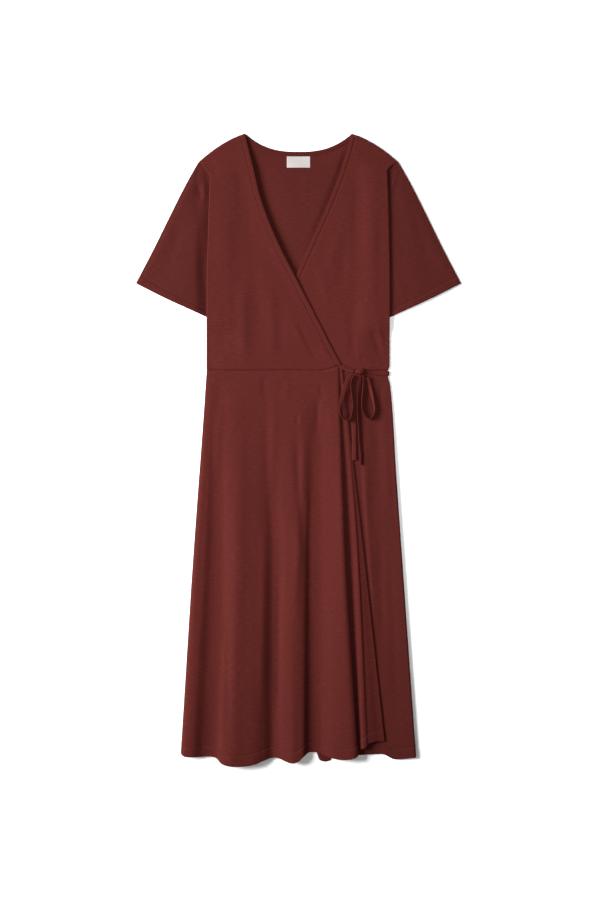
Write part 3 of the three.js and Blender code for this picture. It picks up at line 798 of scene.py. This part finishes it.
def bindingSurface(side):
    height = overBodiceHeight if side == "over" else underBodiceHeight
    bottom = (float(overWaist(outline["corner"])) if side == "over" else outline["waist"]) + room["bandEnd"]
    rise = band["domeOver"] if side == "over" else band["domeUnder"]
    inner = lambda y: insideEdge(side, y, outline["bandWidth"])
    edge = lambda y: insideEdge(side, y, 0)
    fromEdge = (lambda u: 1 - u) if side == "over" else (lambda u: u)

    def bandHeight(x, y):
        share = np.clip((np.abs(x - edge(y))) / (np.abs(inner(y) - edge(y))), 0, 1)
        dome = rise * rounded(2 * share) - band["sink"]
        low = np.minimum(y, shoulderY(x) - band["belowShoulder"])
        return np.maximum(height(x, low), band["lowest"]) + dome

    return panelSurface(
        left=inner if side == "over" else edge,
        right=edge if side == "over" else inner,
        lower=lambda u: np.full_like(u, bottom),
        upper=lambda u: outline["halfLength"] - fromEdge(u) * room["bandTip"],
        height=bandHeight,
    )


def frontBinding(side):
    surface = bindingSurface(side)
    piece = gridPiece(f"binding_front_{side}_cloth", surface, np.linspace(0, 1, 11), np.linspace(0, 1, 240))
    thicken(cloth["band"], rim=0.5)
    finishPiece(piece, f"binding_front_{side}")
    return surface


backBand = {"share": 0.998, "wider": 0.9, "dome": 0.5, "height": 0.65}


def backBindingSurface(u, v):
    x = (2 * u - 1) * outline["neckHalf"] * backBand["share"]
    inset = (1 - v) * (outline["bandWidth"] + backBand["wider"]) * neckStretch(x)
    dome = backBand["dome"] * rounded(2 * v)
    return np.stack([x, neckY(x) - inset, backBand["height"] + dome], axis=-1)


def backBinding():
    us, vs = np.linspace(0, 1, 120), np.linspace(0, 1, 9)
    piece = gridPiece("binding_back_neck_cloth", backBindingSurface, us, vs)
    thicken(cloth["band"], rim=0.5)
    # the sleeves' darker copy of the jersey paints the shade on the back neck binding
    finishPiece(piece, "binding_back_neck", "sleeve")


skirt = {"length": 725.0, "toHem": 730.0, "bottom": 575.0, "halfHem": 222.3}
underSkirtForm = {"rise": 3.4, "roll": 2.6, "edgeTop": 100.0, "edgeBottom": 160.0, "fullFrom": 200.0}


def underSkirtHeight(x, y):
    # flat below the crossing front, fuller toward the side seam
    setup = underSkirtForm
    down = outline["waist"] - y
    edge = lerp(setup["edgeTop"], setup["edgeBottom"], np.clip(down / skirt["length"], 0, 1))
    side = read(skirtSide, "y", "right", y)
    share = np.clip((x - edge) / (side - edge), 0, 1)
    inside = insideOutline(x, y)
    roll = rounded(np.clip(inside / setup["roll"], 0, 1))
    full = setup["rise"] * share**1.2 * smooth(down, 0, setup["fullFrom"])
    creases = creaseHeight(underSkirtCreases, x, y)
    return (
        cloth["atSeam"] + (cloth["under"] - cloth["atSeam"] + full) * roll
        + creases * smooth(share, 0, 0.12) * smooth(inside, 2, 12) + seamDip(down)
    )


def underSkirt():
    right = lambda y: read(skirtSide, "y", "right", y)
    length = outline["waist"] + skirt["bottom"]
    left = lambda y: lerp(underSkirtEdge["top"], underSkirtEdge["bottom"], (outline["waist"] - y) / length)
    lower = lambda u: read(underHem, "x", "y", lerp(underSkirtEdge["bottom"], skirt["halfHem"], u))
    upper = lambda u: np.full_like(u, outline["waist"] - room["waist"])

    def surface(u, v):
        plain = panelSurface(left, right, lower, upper, underSkirtHeight)(u, v)
        plain[..., 2] += hemRelief(plain[..., 1] - lower(u))
        return plain

    us = spaced((0, 0.6, 36), (0.6, 0.97, 90), (0.97, 1, 14))
    piece = gridPiece("front_skirt_under_cloth", surface, us, skirtRows)
    thicken(cloth["wall"])
    # its darker copy of the jersey paints the shade beside the crossing front's tuck
    finishPiece(piece, "front_skirt_under", "under")
    return surface


# folds of the crossing skirt front from its side seam to its front edge: x at the waist, at the knee of
# the tuck below the bow, half way down and at the hem, the same for z, and the y of the hem there
overSkirtFolds = table("xWaist xKnee xMiddle xHem zWaist zKnee zMiddle zHem hem", [
    (-174.2, -181.2, -199.5, -223.3, 2.2, 2.2, 2.2, 2.2, -574),
    (-172.6, -179.6, -198, -221.6, 4, 4.9, 6, 6.7, -578.5),
    (-168, -175, -193, -216, 5, 6.4, 8.6, 9.9, -582.5),
    (-160, -167.5, -181, -201, 5.5, 6.7, 9.5, 10.9, -583.3),
    (-152, -161, -166.5, -182.5, 5.6, 5.9, 5.5, 5.5, -583),
    (-146, -154, -155.5, -168.5, 5.7, 5.4, 4.6, 4.4, -582.6),
    (-139, -145, -143, -156, 5.8, 6.2, 6, 6.2, -585.5),
    (-129, -133, -131.5, -146, 5.9, 7.8, 10.8, 11.8, -595.5),
    (-116, -119, -119, -131, 6, 8.6, 14.1, 16.1, -600.2),
    (-95, -98, -98, -106, 6.1, 8.2, 13.2, 15.8, -600.4),
    (-80, -83, -78, -82, 6.2, 7.6, 11.5, 14.4, -596.2),
    (-68, -71, -62.5, -66, 6.2, 6.8, 8.4, 10.4, -590),
    (-56, -59, -49, -50, 6.3, 6, 4.8, 4.7, -585),
    (-46, -48, -36, -38, 6.4, 6.4, 6, 6.6, -585.4),
    (-34, -36, -24.5, -25, 6.5, 7.2, 9.6, 11.4, -591),
    (-18, -19, -12, -12, 6.5, 7.8, 12, 15, -594.6),
    (-4, 2, 0, 0, 6.6, 8, 12.2, 14.6, -591),
    (8, 16, 12, 9.8, 6.6, 7.2, 9.6, 13, -582),
    (18, 26, 20, 18.6, 6.6, 6, 5.1, 6.2, -575),
    (28, 35, 29, 27.6, 6.6, 5.5, 4.2, 4.1, -573.8),
    (37, 43, 41.5, 42, 6.6, 6, 4.7, 4.6, -576.8),
    (46, 51, 51, 52, 6.6, 7.4, 6.9, 7.6, -581),
    (56, 60, 61.5, 66, 6.6, 8.8, 10, 12.2, -585.5),
    (65, 69, 73, 86, 6.4, 9.6, 13.2, 15.8, -588),
    (72.6, 76.4, 84, 106.4, 6.2, 9.6, 15.2, 17, -584.5),
    (75.6, 79.8, 89.2, 112.6, 5.6, 7.8, 12.4, 13.6, -580),
    (76.2, 80.5, 85.5, 104, 5.2, 5.9, 7.8, 9, -577),
    (77.2, 81.6, 82, 95, 4.9, 5.2, 6, 6.5, -575),
    (78, 83, 87.6, 102.5, 4.7, 4.8, 4.6, 4.5, -571),
    (79, 84.6, 98, 114, 4.7, 4.9, 5.4, 6.8, -568),
    (80, 87.6, 105.8, 122, 4.7, 5.3, 7.8, 12, -567.5),
    (80.5, 90.6, 111, 128.4, 4.65, 5.4, 8.6, 12.2, -563.5),
    (80.9, 92.4, 113.6, 131.6, 4.6, 5.2, 6.8, 10.6, -559),
    (81.2, 92.8, 115.8, 142, 4.6, 5, 6.3, 8.7, -554.5),
    (81.6, 93.2, 118.8, 153.6, 4.6, 4.9, 5.8, 6.2, -553.6),
    (82, 93.6, 122, 163.4, 4.6, 4.7, 5.3, 5.2, -553.5),
])
foldStations = {"knee": 0.14, "middle": 0.483}
overSkirtTop = {"until": 0.70, "fade": 0.64, "sideLift": 9.0, "gap": 0.2, "hemShare": 0.8}


def overSkirtSurface(u, v):
    # v is 0 at the hem and 1 at the waist
    rows = overSkirtFolds
    down = 1 - v[:, 0]
    stations = np.array([0, foldStations["knee"], foldStations["middle"], 1])

    def throughStations(prefix):
        values = [rows[prefix + place] for place in ("Waist", "Knee", "Middle", "Hem")]
        out = np.empty((len(values[0]), len(down)))
        for k, four in enumerate(zip(*values)):
            out[k] = read({"s": stations, "value": np.array(four)}, "s", "value", down)
        return out

    x, z = throughStations("x"), throughStations("z")
    top = overWaist(rows["xWaist"])[:, None] - room["waist"]
    y = lerp(top, rows["hem"][:, None], down[None])
    folds = np.stack([x, y, z], axis=-1)
    return np.stack([curveThrough(folds[:, k], u[k]) for k in range(len(down))])


def overSkirtCloth(u, v):
    setup = overSkirtTop
    points = overSkirtSurface(u, v)
    x, y, z = points[..., 0], points[..., 1], points[..., 2]
    onTop = smooth(-u, -setup["until"], -setup["fade"])  # small creases stay off the tuck and the strip
    inside = smooth(x - read({"y": skirtSide["y"], "x": -skirtSide["left"]}, "y", "x", y), 2, 14)
    z = z + creaseHeight(overSkirtCreases, x, y) * onTop * inside
    # beside the side seam it is raised, to stand no lower than over the layer below
    lowest = cloth["under"] + cloth["layerGap"] + setup["gap"]
    raised = np.maximum(z, np.minimum(lowest, z + setup["sideLift"] * (1 - inside)))
    z = np.where(u < setup["until"], raised, z)
    z = z + (seamDip((1 - v) * skirt["length"]) + hemRelief(v * skirt["toHem"]) * setup["hemShare"])
    return np.stack([x, y, z], axis=-1)


def overSkirt():
    us = np.linspace(0, 1, 35 * 7 + 1)
    piece = gridPiece("front_skirt_over_cloth", overSkirtCloth, us, skirtRows)
    thicken(cloth["wall"])
    finishPiece(piece, "front_skirt_over")


# sleeves
sleeveFold = table("share x y", [
    (0, 185.2, 548), (0.016, 187.7, 546.8), (0.07, 197.7, 531.1), (0.23, 218.6, 493.1),
    (0.48, 247.1, 436.1), (0.725, 275.2, 379.1), (1, 308.4, 315.4),
])
cuffLine = table("share x y", [
    (0, 308.4, 315.4), (0.33, 259.5, 290.5), (0.9, 173.5, 251), (1, 158, 243.5),
])
armhole = {
    "left": table("share x y", [
        (0, 185.2, 548), (0.14, 172, 528.6), (0.25, 164.4, 517.4), (0.45, 159.6, 492),
        (1, 158, 420),
    ]),
    "right": table("share x y", [
        (0, 185.2, 548), (0.14, 163.4, 529), (0.25, 162.4, 517.4), (0.45, 159.6, 492),
        (1, 158, 420),
    ]),
}
sleeveForm = {"height": 2.7, "edge": 0.75, "hem": 15.0, "length": 262.0, "top": 0.08, "deepest": -0.2}
sleeveFullness = {
    "left": {"rim": 1.5, "rise": 5.0, "from": -4.0, "to": 24.0},
    "right": {"rim": 0.6, "rise": 0.9, "from": 6.0, "to": 60.0},
}


def sleevePatch(side):
    hole = armhole[side]
    inner = table("share x y", [(0, hole["x"][-1], hole["y"][-1]), (1, cuffLine["x"][-1], cuffLine["y"][-1])])

    def patch(axis, u, v):
        corners = lerp(
            lerp(hole[axis][0], hole[axis][-1], u),
            lerp(cuffLine[axis][0], cuffLine[axis][-1], u), v,
        )
        return (
            lerp(np.interp(u, hole["share"], hole[axis]), read(cuffLine, "share", axis, u), v)
            + lerp(read(sleeveFold, "share", axis, v), read(inner, "share", axis, v), u)
            - corners
        )

    return patch


def sleeveSurface(side):
    patch = sleevePatch(side)
    sign = -1 if side == "left" else 1
    setup = sleeveForm

    def surface(s, v):
        top = s <= 0.5
        u = np.where(top, 1 - 2 * s, 2 * s - 1)
        x, y = sign * patch("x", u, v), patch("y", u, v)
        atFold, atHole = np.zeros_like(u), np.ones_like(u)
        width = np.hypot(*[patch(axis, atFold, v) - patch(axis, atHole, v) for axis in "xy"])
        fromFold = np.minimum(u, 1 - u) * width
        roll = rounded(np.clip(fromFold / setup["edge"], 0, 1))
        clear = np.abs(x) - np.abs(sideAt(bodiceSide, x, y))
        full = sleeveFullness[side]
        nearTop = smooth(v, 0, setup["top"])
        rim = smooth(u * width, 0, 9) * nearTop
        dip = smooth(clear, full["from"], full["to"])
        shown = smooth(clear, 0.5, 6) * rim
        swell = (full["rim"] * rim + full["rise"] * smooth(u * width, 0, 90)) * dip * nearTop
        fromCuff = (1 - v) * setup["length"]
        relief = swell + hemRelief(fromCuff + hem["depth"] - setup["hem"]) * smooth(u * width, 0, 3)
        relief = relief + creaseHeight(sleeveCreases[side], x, y) * shown
        middle = setup["height"] / 2
        half = (setup["height"] - cloth["wall"]) / 2
        relief = np.maximum(relief, setup["deepest"])
        z = np.where(top, middle + half * roll + relief * roll, middle - half * roll)
        return np.stack([x, y, z], axis=-1)

    return surface


def sleeve(side):
    surface = sleeveSurface(side)
    edge = [0, 0.0004, 0.0012, 0.0022, 0.0034]
    half = np.concatenate([edge, np.linspace(0.008, 0.492, 70), [0.5 - e for e in reversed(edge)]])
    around = np.concatenate([half, 0.5 + half[1:]])
    piece = gridPiece(f"sleeve_{side}_cloth", surface, around, spaced((0, 0.9, 60), (0.9, 1, 16)), fromEnd=True)
    weld(0.000001)
    thicken(cloth["wall"])
    # the sleeves' darker copy of the jersey paints shade
    finishPiece(piece, f"sleeve_{side}", "sleeve")
    return surface


# wall and rim in millimetres; in metres the tape's middle above the back, its lower edge's curl
# and a slight wave
labelForm = {"wall": 0.5, "rim": 0.15, "middle": 0.0011, "curl": 0.0006, "wave": 0.0002}


def neckLabel():
    low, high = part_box("neck_label")
    add = bpy.ops.mesh.primitive_grid_add
    piece = newPiece("neck_label_tape", add, x_subdivisions=28, y_subdivisions=14, size=1)
    setup = labelForm
    for vertex in piece.data.vertices:
        u, v = vertex.co.x + 0.5, vertex.co.y + 0.5
        lift = setup["curl"] * math.sin(math.pi * u) * (1 - v) + setup["wave"] * math.sin(5 * u + 2 * v)
        x, y = lerp(low.x, high.x, u), lerp(low.y, high.y, v)
        below = float(backHeight(np.array([x / mm]), np.array([y / mm]))[0]) * mm
        vertex.co = (x, y, below + setup["middle"] + lift)
    thicken(setup["wall"], setup["rim"])
    finishPiece(piece, "neck_label", "label_tape")


surfaces = {}
backBodice()
backSkirt()
frontBodice("under")
frontBodice("over")
print("bodice ready")
surfaces["underSkirt"] = underSkirt()
overSkirt()
print("skirt ready")
for side in ("left", "right"):
    surfaces["sleeve_" + side] = sleeve(side)
print("sleeves ready")
backBinding()
for side in ("under", "over"):
    surfaces["binding_" + side] = frontBinding(side)
neckLabel()
print("bindings and label ready")


# tie: middle line of each strap; turn is 0 where it lies flat and 90 where it stands on edge
tie = {"width": 8.4, "wall": 2.0, "ring": 16, "perRow": 8, "pressed": 0.28, "pressedWidth": 0.9}
tieRows = {
    "tie_front_strand": [
        (83.6, 155.9, 6.7, 0), (90, 153.4, 6.4, 5), (98, 150.8, 6.8, 20), (104.6, 149.2, 8, 40),
    ],
    "tie_side_strand": [
        (171.9, 144.6, 1.6, 0), (171, 144.6, 3.9, 0), (167, 144.7, 4.7, 0),
        (152, 145.6, 4.6, 0), (140, 146.6, 5.4, 12), (129.4, 147.6, 7.6, 35),
    ],
    "tie_loop_left": [
        (103.6, 141.6, 9.8, 30), (94.6, 134, 8.8, 8), (87, 113, 8.6, 4), (82, 94, 9.8, 8),
        (80, 76, 10.8, 30), (83.4, 62, 11.6, 65), (91, 54.8, 11.4, 88), (98.6, 61, 10, 90),
        (102.6, 78.9, 8.9, 90), (101.8, 97, 8.7, 90), (99.2, 118, 8.8, 90), (100.8, 133, 9.4, 90),
        (105, 140.4, 10.6, 90),
    ],
    "tie_loop_right": [
        (121.6, 140.4, 9.8, 84), (123, 130, 8.6, 88), (121.6, 110, 8.1, 90), (120, 88, 8, 90),
        (121.8, 72, 8, 90), (127.6, 62, 8, 90), (134.2, 57.8, 8, 90), (141.2, 63.6, 7.9, 90),
        (144.7, 74, 7.7, 86), (143, 86, 7.2, 72), (138.6, 104, 6.4, 40), (134, 122, 6.2, 20),
        (129.4, 136.6, 8, 12),
    ],
    "tie_tail_left": [
        (107.6, 140.6, 5.4, 0), (106, 120, 4.7, 0), (105.8, 90, 4.6, 0), (105.6, 56, 4.6, 0),
        (105.6, 30, 4.8, 0), (105.6, 10, 5.4, 0), (105.8, -20.2, 5.8, 0),
    ],
    "tie_tail_right": [
        (116, 140.2, 5.6, 0), (114.6, 122.6, 5.8, 20), (113.8, 95, 6.4, 38), (114.2, 65.6, 6.6, 44),
        (116, 40, 6.5, 40), (118, 9.3, 6.3, 34), (120.2, -11.4, 6.4, 40), (119.6, -29, 6.6, 48),
    ],
}


def strapSurface(rows):
    rows = np.array(rows, float)
    path = rows[:, :3]

    def surface(u, v):
        # u runs round the strap and v along it
        along = v[:, 0]
        centre = curveThrough(path, along)
        after, before = np.minimum(along + 1e-3, 1), np.maximum(along - 1e-3, 0)
        ahead = curveThrough(path, after) - curveThrough(path, before)
        ahead /= np.linalg.norm(ahead, axis=-1)[:, None]
        side = np.cross(ahead, [0, 0, 1.0])
        side /= np.linalg.norm(side, axis=-1)[:, None]
        face = np.cross(side, ahead)
        turn = np.radians(np.interp(along * (len(rows) - 1), np.arange(len(rows)), rows[:, 3]))[:, None]
        angle = 2 * np.pi * u
        w = tie["width"] / 2 * np.sign(np.cos(angle)) * np.abs(np.cos(angle)) ** 0.55
        h = tie["wall"] / 2 * np.sign(np.sin(angle)) * np.abs(np.sin(angle)) ** 0.7
        # pressed line down the middle
        h = h * (1 - tie["pressed"] * np.exp(-((w / tie["pressedWidth"]) ** 2)))
        a = w * np.cos(turn) - h * np.sin(turn)
        b = w * np.sin(turn) + h * np.cos(turn)
        return centre[:, None] + side[:, None] * a[..., None] + face[:, None] * b[..., None]

    return surface, path


def pathLength(path):
    return float(np.linalg.norm(np.diff(path, axis=0), axis=1).sum()) * mm


def strap(name, rows):
    surface, path = strapSurface(rows)
    stations = np.linspace(0, 1, (len(rows) - 1) * tie["perRow"] + 1)
    piece = gridPiece(name + "_cloth", surface, np.linspace(0, 1, tie["ring"] + 1), stations)
    closeTube()
    bpy.ops.object.shade_smooth_by_angle(angle=math.radians(60))
    return piece, curveThrough(path, stations)


restsOf = {
    "tie_front_strand": ["front_bodice_under"],
    "tie_side_strand": ["front_skirt_under"],
    "tie_loop_left": ["front_skirt_over", "tie_tail_left"],
    "tie_loop_right": ["front_skirt_under", "tie_tail_right"],
}
for name, rows in tieRows.items():
    piece, path = strap(name, rows)
    # the tie's slightly darker copy of the jersey paints shade
    finishPiece(piece, name, "tie")
    length = pathLength(path)
    if name in restsOf:
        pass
    else:
        tuple(path[0] * mm)
        [tuple(p * mm) for p in path]

knot = {
    "centre": (117.0, 147.6, 7.8), "half": (11.0, 4.6, 3.6), "pleat": 0.09, "groove": 0.16, "grooveAt": 0.62,
    "grooveWidth": 0.12, "bend": 1.1, "wrapWidth": 8.4, "wrapWall": 0.7, "wrapFold": 0.35, "wrapLean": 1.4,
}


def tieKnot():
    # bundle of crossing straps under one wrap
    add = bpy.ops.mesh.primitive_uv_sphere_add
    core = newPiece("tie_knot_cloth", add, segments=48, ring_count=32, radius=1)
    cx, cy, cz = knot["centre"]
    hx, hy, hz = knot["half"]
    for vertex in core.data.vertices:
        x, y, z = vertex.co
        pleat = 1 + knot["pleat"] * math.cos(9 * y + 1.5 * x) * (1 - x * x)
        pleat -= knot["groove"] * math.exp(-(((abs(x) - knot["grooveAt"]) / knot["grooveWidth"]) ** 2))
        vertex.co = (
            (cx + hx * x) * mm,
            (cy + hy * y * pleat + knot["bend"] * x * x * (1 if x < 0 else -0.4)) * mm,
            (cz + hz * z * pleat) * mm,
        )
    bpy.ops.object.shade_smooth()
    # the tie's slightly darker copy of the jersey paints shade
    finishPiece(core, "tie_knot", "tie")
    add = bpy.ops.mesh.primitive_grid_add
    wrap = newPiece("tie_knot_wrap", add, x_subdivisions=10, y_subdivisions=48, size=2)
    for vertex in wrap.data.vertices:
        across, around = vertex.co.x, (vertex.co.y + 1) * math.pi
        fold = knot["wrapFold"] * math.cos(across * 7) + 0.5 * (1 - across * across)
        radiusY, radiusZ = hy + 0.5 + fold, hz + 0.4 + fold
        vertex.co = (
            (cx + across * knot["wrapWidth"] / 2 + knot["wrapLean"] * math.sin(around)) * mm,
            (cy + radiusY * math.sin(around)) * mm,
            (cz - radiusZ * math.cos(around)) * mm,
        )
    weld(0.00001)
    thicken(knot["wrapWall"], rim=0.2)
    finishPiece(wrap, None, "tie")


tieKnot()
print("tie ready")


# stitches: one is modelled, then copied along each seam
stitchForm = {"length": 2.2, "pitch": 3.0, "thick": 0.42, "proud": 0.05}
twoRows = (-1.2, 1.2)  # the hems have a row to either side of their line


def oneStitch():
    deselectAll()
    bpy.ops.mesh.primitive_uv_sphere_add(segments=6, ring_count=4, radius=0.5)
    seed = bpy.context.active_object
    verts = np.array([v.co[:] for v in seed.data.vertices])
    faces = [tuple(p.vertices) for p in seed.data.polygons]
    bpy.data.objects.remove(seed)
    return verts[:, [2, 0, 1]], faces


stitchVerts, stitchFaces = oneStitch()


def stitchRow(surface, us, vs, wall, aside):
    # frames of the stitches along a line on the top of a piece
    grid = lambda u, v: np.stack([surface(np.array([[a]]), np.array([[b]]))[0, 0] for a, b in zip(u, v)])
    e = 1e-3
    points = grid(us, vs)
    across = grid(np.minimum(us + e, 1), vs) - grid(np.maximum(us - e, 0), vs)
    along = grid(us, np.minimum(vs + e, 1)) - grid(us, np.maximum(vs - e, 0))
    normal = np.cross(across, along)
    normal /= np.linalg.norm(normal, axis=1)[:, None]
    normal *= np.sign(normal[:, 2:3])
    ahead = np.gradient(points, axis=0)
    ahead /= np.linalg.norm(ahead, axis=1)[:, None]
    points = points + normal * (wall / 2 + stitchForm["proud"]) + np.cross(normal, ahead) * aside
    place = np.concatenate([[0], np.cumsum(np.linalg.norm(np.diff(points, axis=0), axis=1))])
    at = np.arange(stitchForm["pitch"] / 2, place[-1], stitchForm["pitch"])
    pick = lambda values: np.stack([np.interp(at, place, values[:, k]) for k in range(3)], axis=-1)
    return pick(points), pick(ahead), pick(normal)


def stitchPiece(name, rows):
    verts, faces = [], []
    for points, ahead, normal in rows:
        for p, a, n in zip(points, ahead, normal):
            side = np.cross(n, a)
            local = stitchVerts * [stitchForm["length"], stitchForm["thick"], stitchForm["thick"]]
            base = len(verts)
            verts.extend((p + local[:, :1] * a + local[:, 1:2] * side + local[:, 2:] * n) * mm)
            faces.extend(tuple(base + k for k in face) for face in stitchFaces)
    mesh = bpy.data.meshes.new(name)
    mesh.from_pydata([tuple(v) for v in verts], [], faces)
    mesh.update()
    piece = bpy.data.objects.new(name, mesh)
    bpy.context.scene.collection.objects.link(piece)
    deselectAll()
    bpy.context.view_layer.objects.active = piece
    piece.select_set(True)
    bpy.ops.object.shade_smooth()
    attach(piece, "root")
    piece.data.materials.append(threadFinish)


def run(count, share):
    # a pair runs from one share to the other, a single number stays where it is
    low, high = share if isinstance(share, tuple) else (share, share)
    return lerp(low, high, np.linspace(0, 1, count))


def allStitches():
    hemline = hem["depth"] / skirt["toHem"]
    cuffline = 1 - sleeveForm["hem"] / sleeveForm["length"]
    # piece, the surface it lies on, points of its line, and the line's shares across and along the surface
    seams = [
        ("hem_stitches_over", overSkirtCloth, 260, (0, 1), hemline),
        ("hem_stitches_under", surfaces["underSkirt"], 160, (0.55, 1.0), hemline),
        ("cuff_stitches_left", surfaces["sleeve_left"], 60, (0.03, 0.49), cuffline),
        ("cuff_stitches_right", surfaces["sleeve_right"], 60, (0.03, 0.49), cuffline),
        ("binding_stitches_under", surfaces["binding_under"], 160, 0.72, (0.002, 0.998)),
        ("binding_stitches_over", surfaces["binding_over"], 160, 0.28, (0.002, 0.998)),
        ("binding_stitches_back", backBindingSurface, 90, (0.01, 0.99), 0.3),
    ]
    for name, surface, count, across, along in seams:
        wall, asides = (cloth["band"], (0.0,)) if "binding" in name else (cloth["wall"], twoRows)
        us, vs = run(count, across), run(count, along)
        stitchPiece(name, [stitchRow(surface, us, vs, wall, aside) for aside in asides])


allStitches()
print("stitches ready")


studio = {
    "key": {"place": (-6.2, 1.4, 3.8), "size": 3.2, "power": 1150.0},
    "pool": {"place": (-0.05, 0.12, 4.4), "cone": 23.0, "size": 0.3, "power": 400.0},
    "sky": 0.19,
    "floor": 0.92,
}


def floorAndLights():
    deselectAll()
    bpy.ops.mesh.primitive_plane_add(size=12, location=(0, 0, -0.0003))
    floor = bpy.context.active_object
    floor.name = "floor_plane"
    material, shade = startMaterial("floor")
    colour = (*[studio["floor"]] * 3, 1)
    finishMaterial(shade, {"Base Color": colour, "Roughness": 0.9, "Specular IOR Level": 0.1})
    floor.data.materials.append(material)
    for name, kind in (("key", "AREA"), ("pool", "SPOT")):
        setup = studio[name]
        bpy.ops.object.light_add(type=kind, location=setup["place"])
        light = bpy.context.active_object
        light.name = name
        light.data.energy = setup["power"]
        if kind == "AREA":
            light.data.size = setup["size"]
            light.rotation_euler = (-Vector(setup["place"])).to_track_quat("-Z", "Y").to_euler()
        else:
            light.data.spot_size = math.radians(setup["cone"])
            light.data.spot_blend = 1.0
            light.data.shadow_soft_size = setup["size"]
    world = bpy.data.worlds.new("studio")
    bpy.context.scene.world = world
    world.use_nodes = True
    background = world.node_tree.nodes["Background"]
    background.inputs["Color"].default_value = (1, 1, 1, 1)
    background.inputs["Strength"].default_value = studio["sky"]
    view = bpy.context.scene.view_settings
    view.view_transform = "Standard"
    view.look = "Medium High Contrast"


floorAndLights()
print("floor and lights ready")
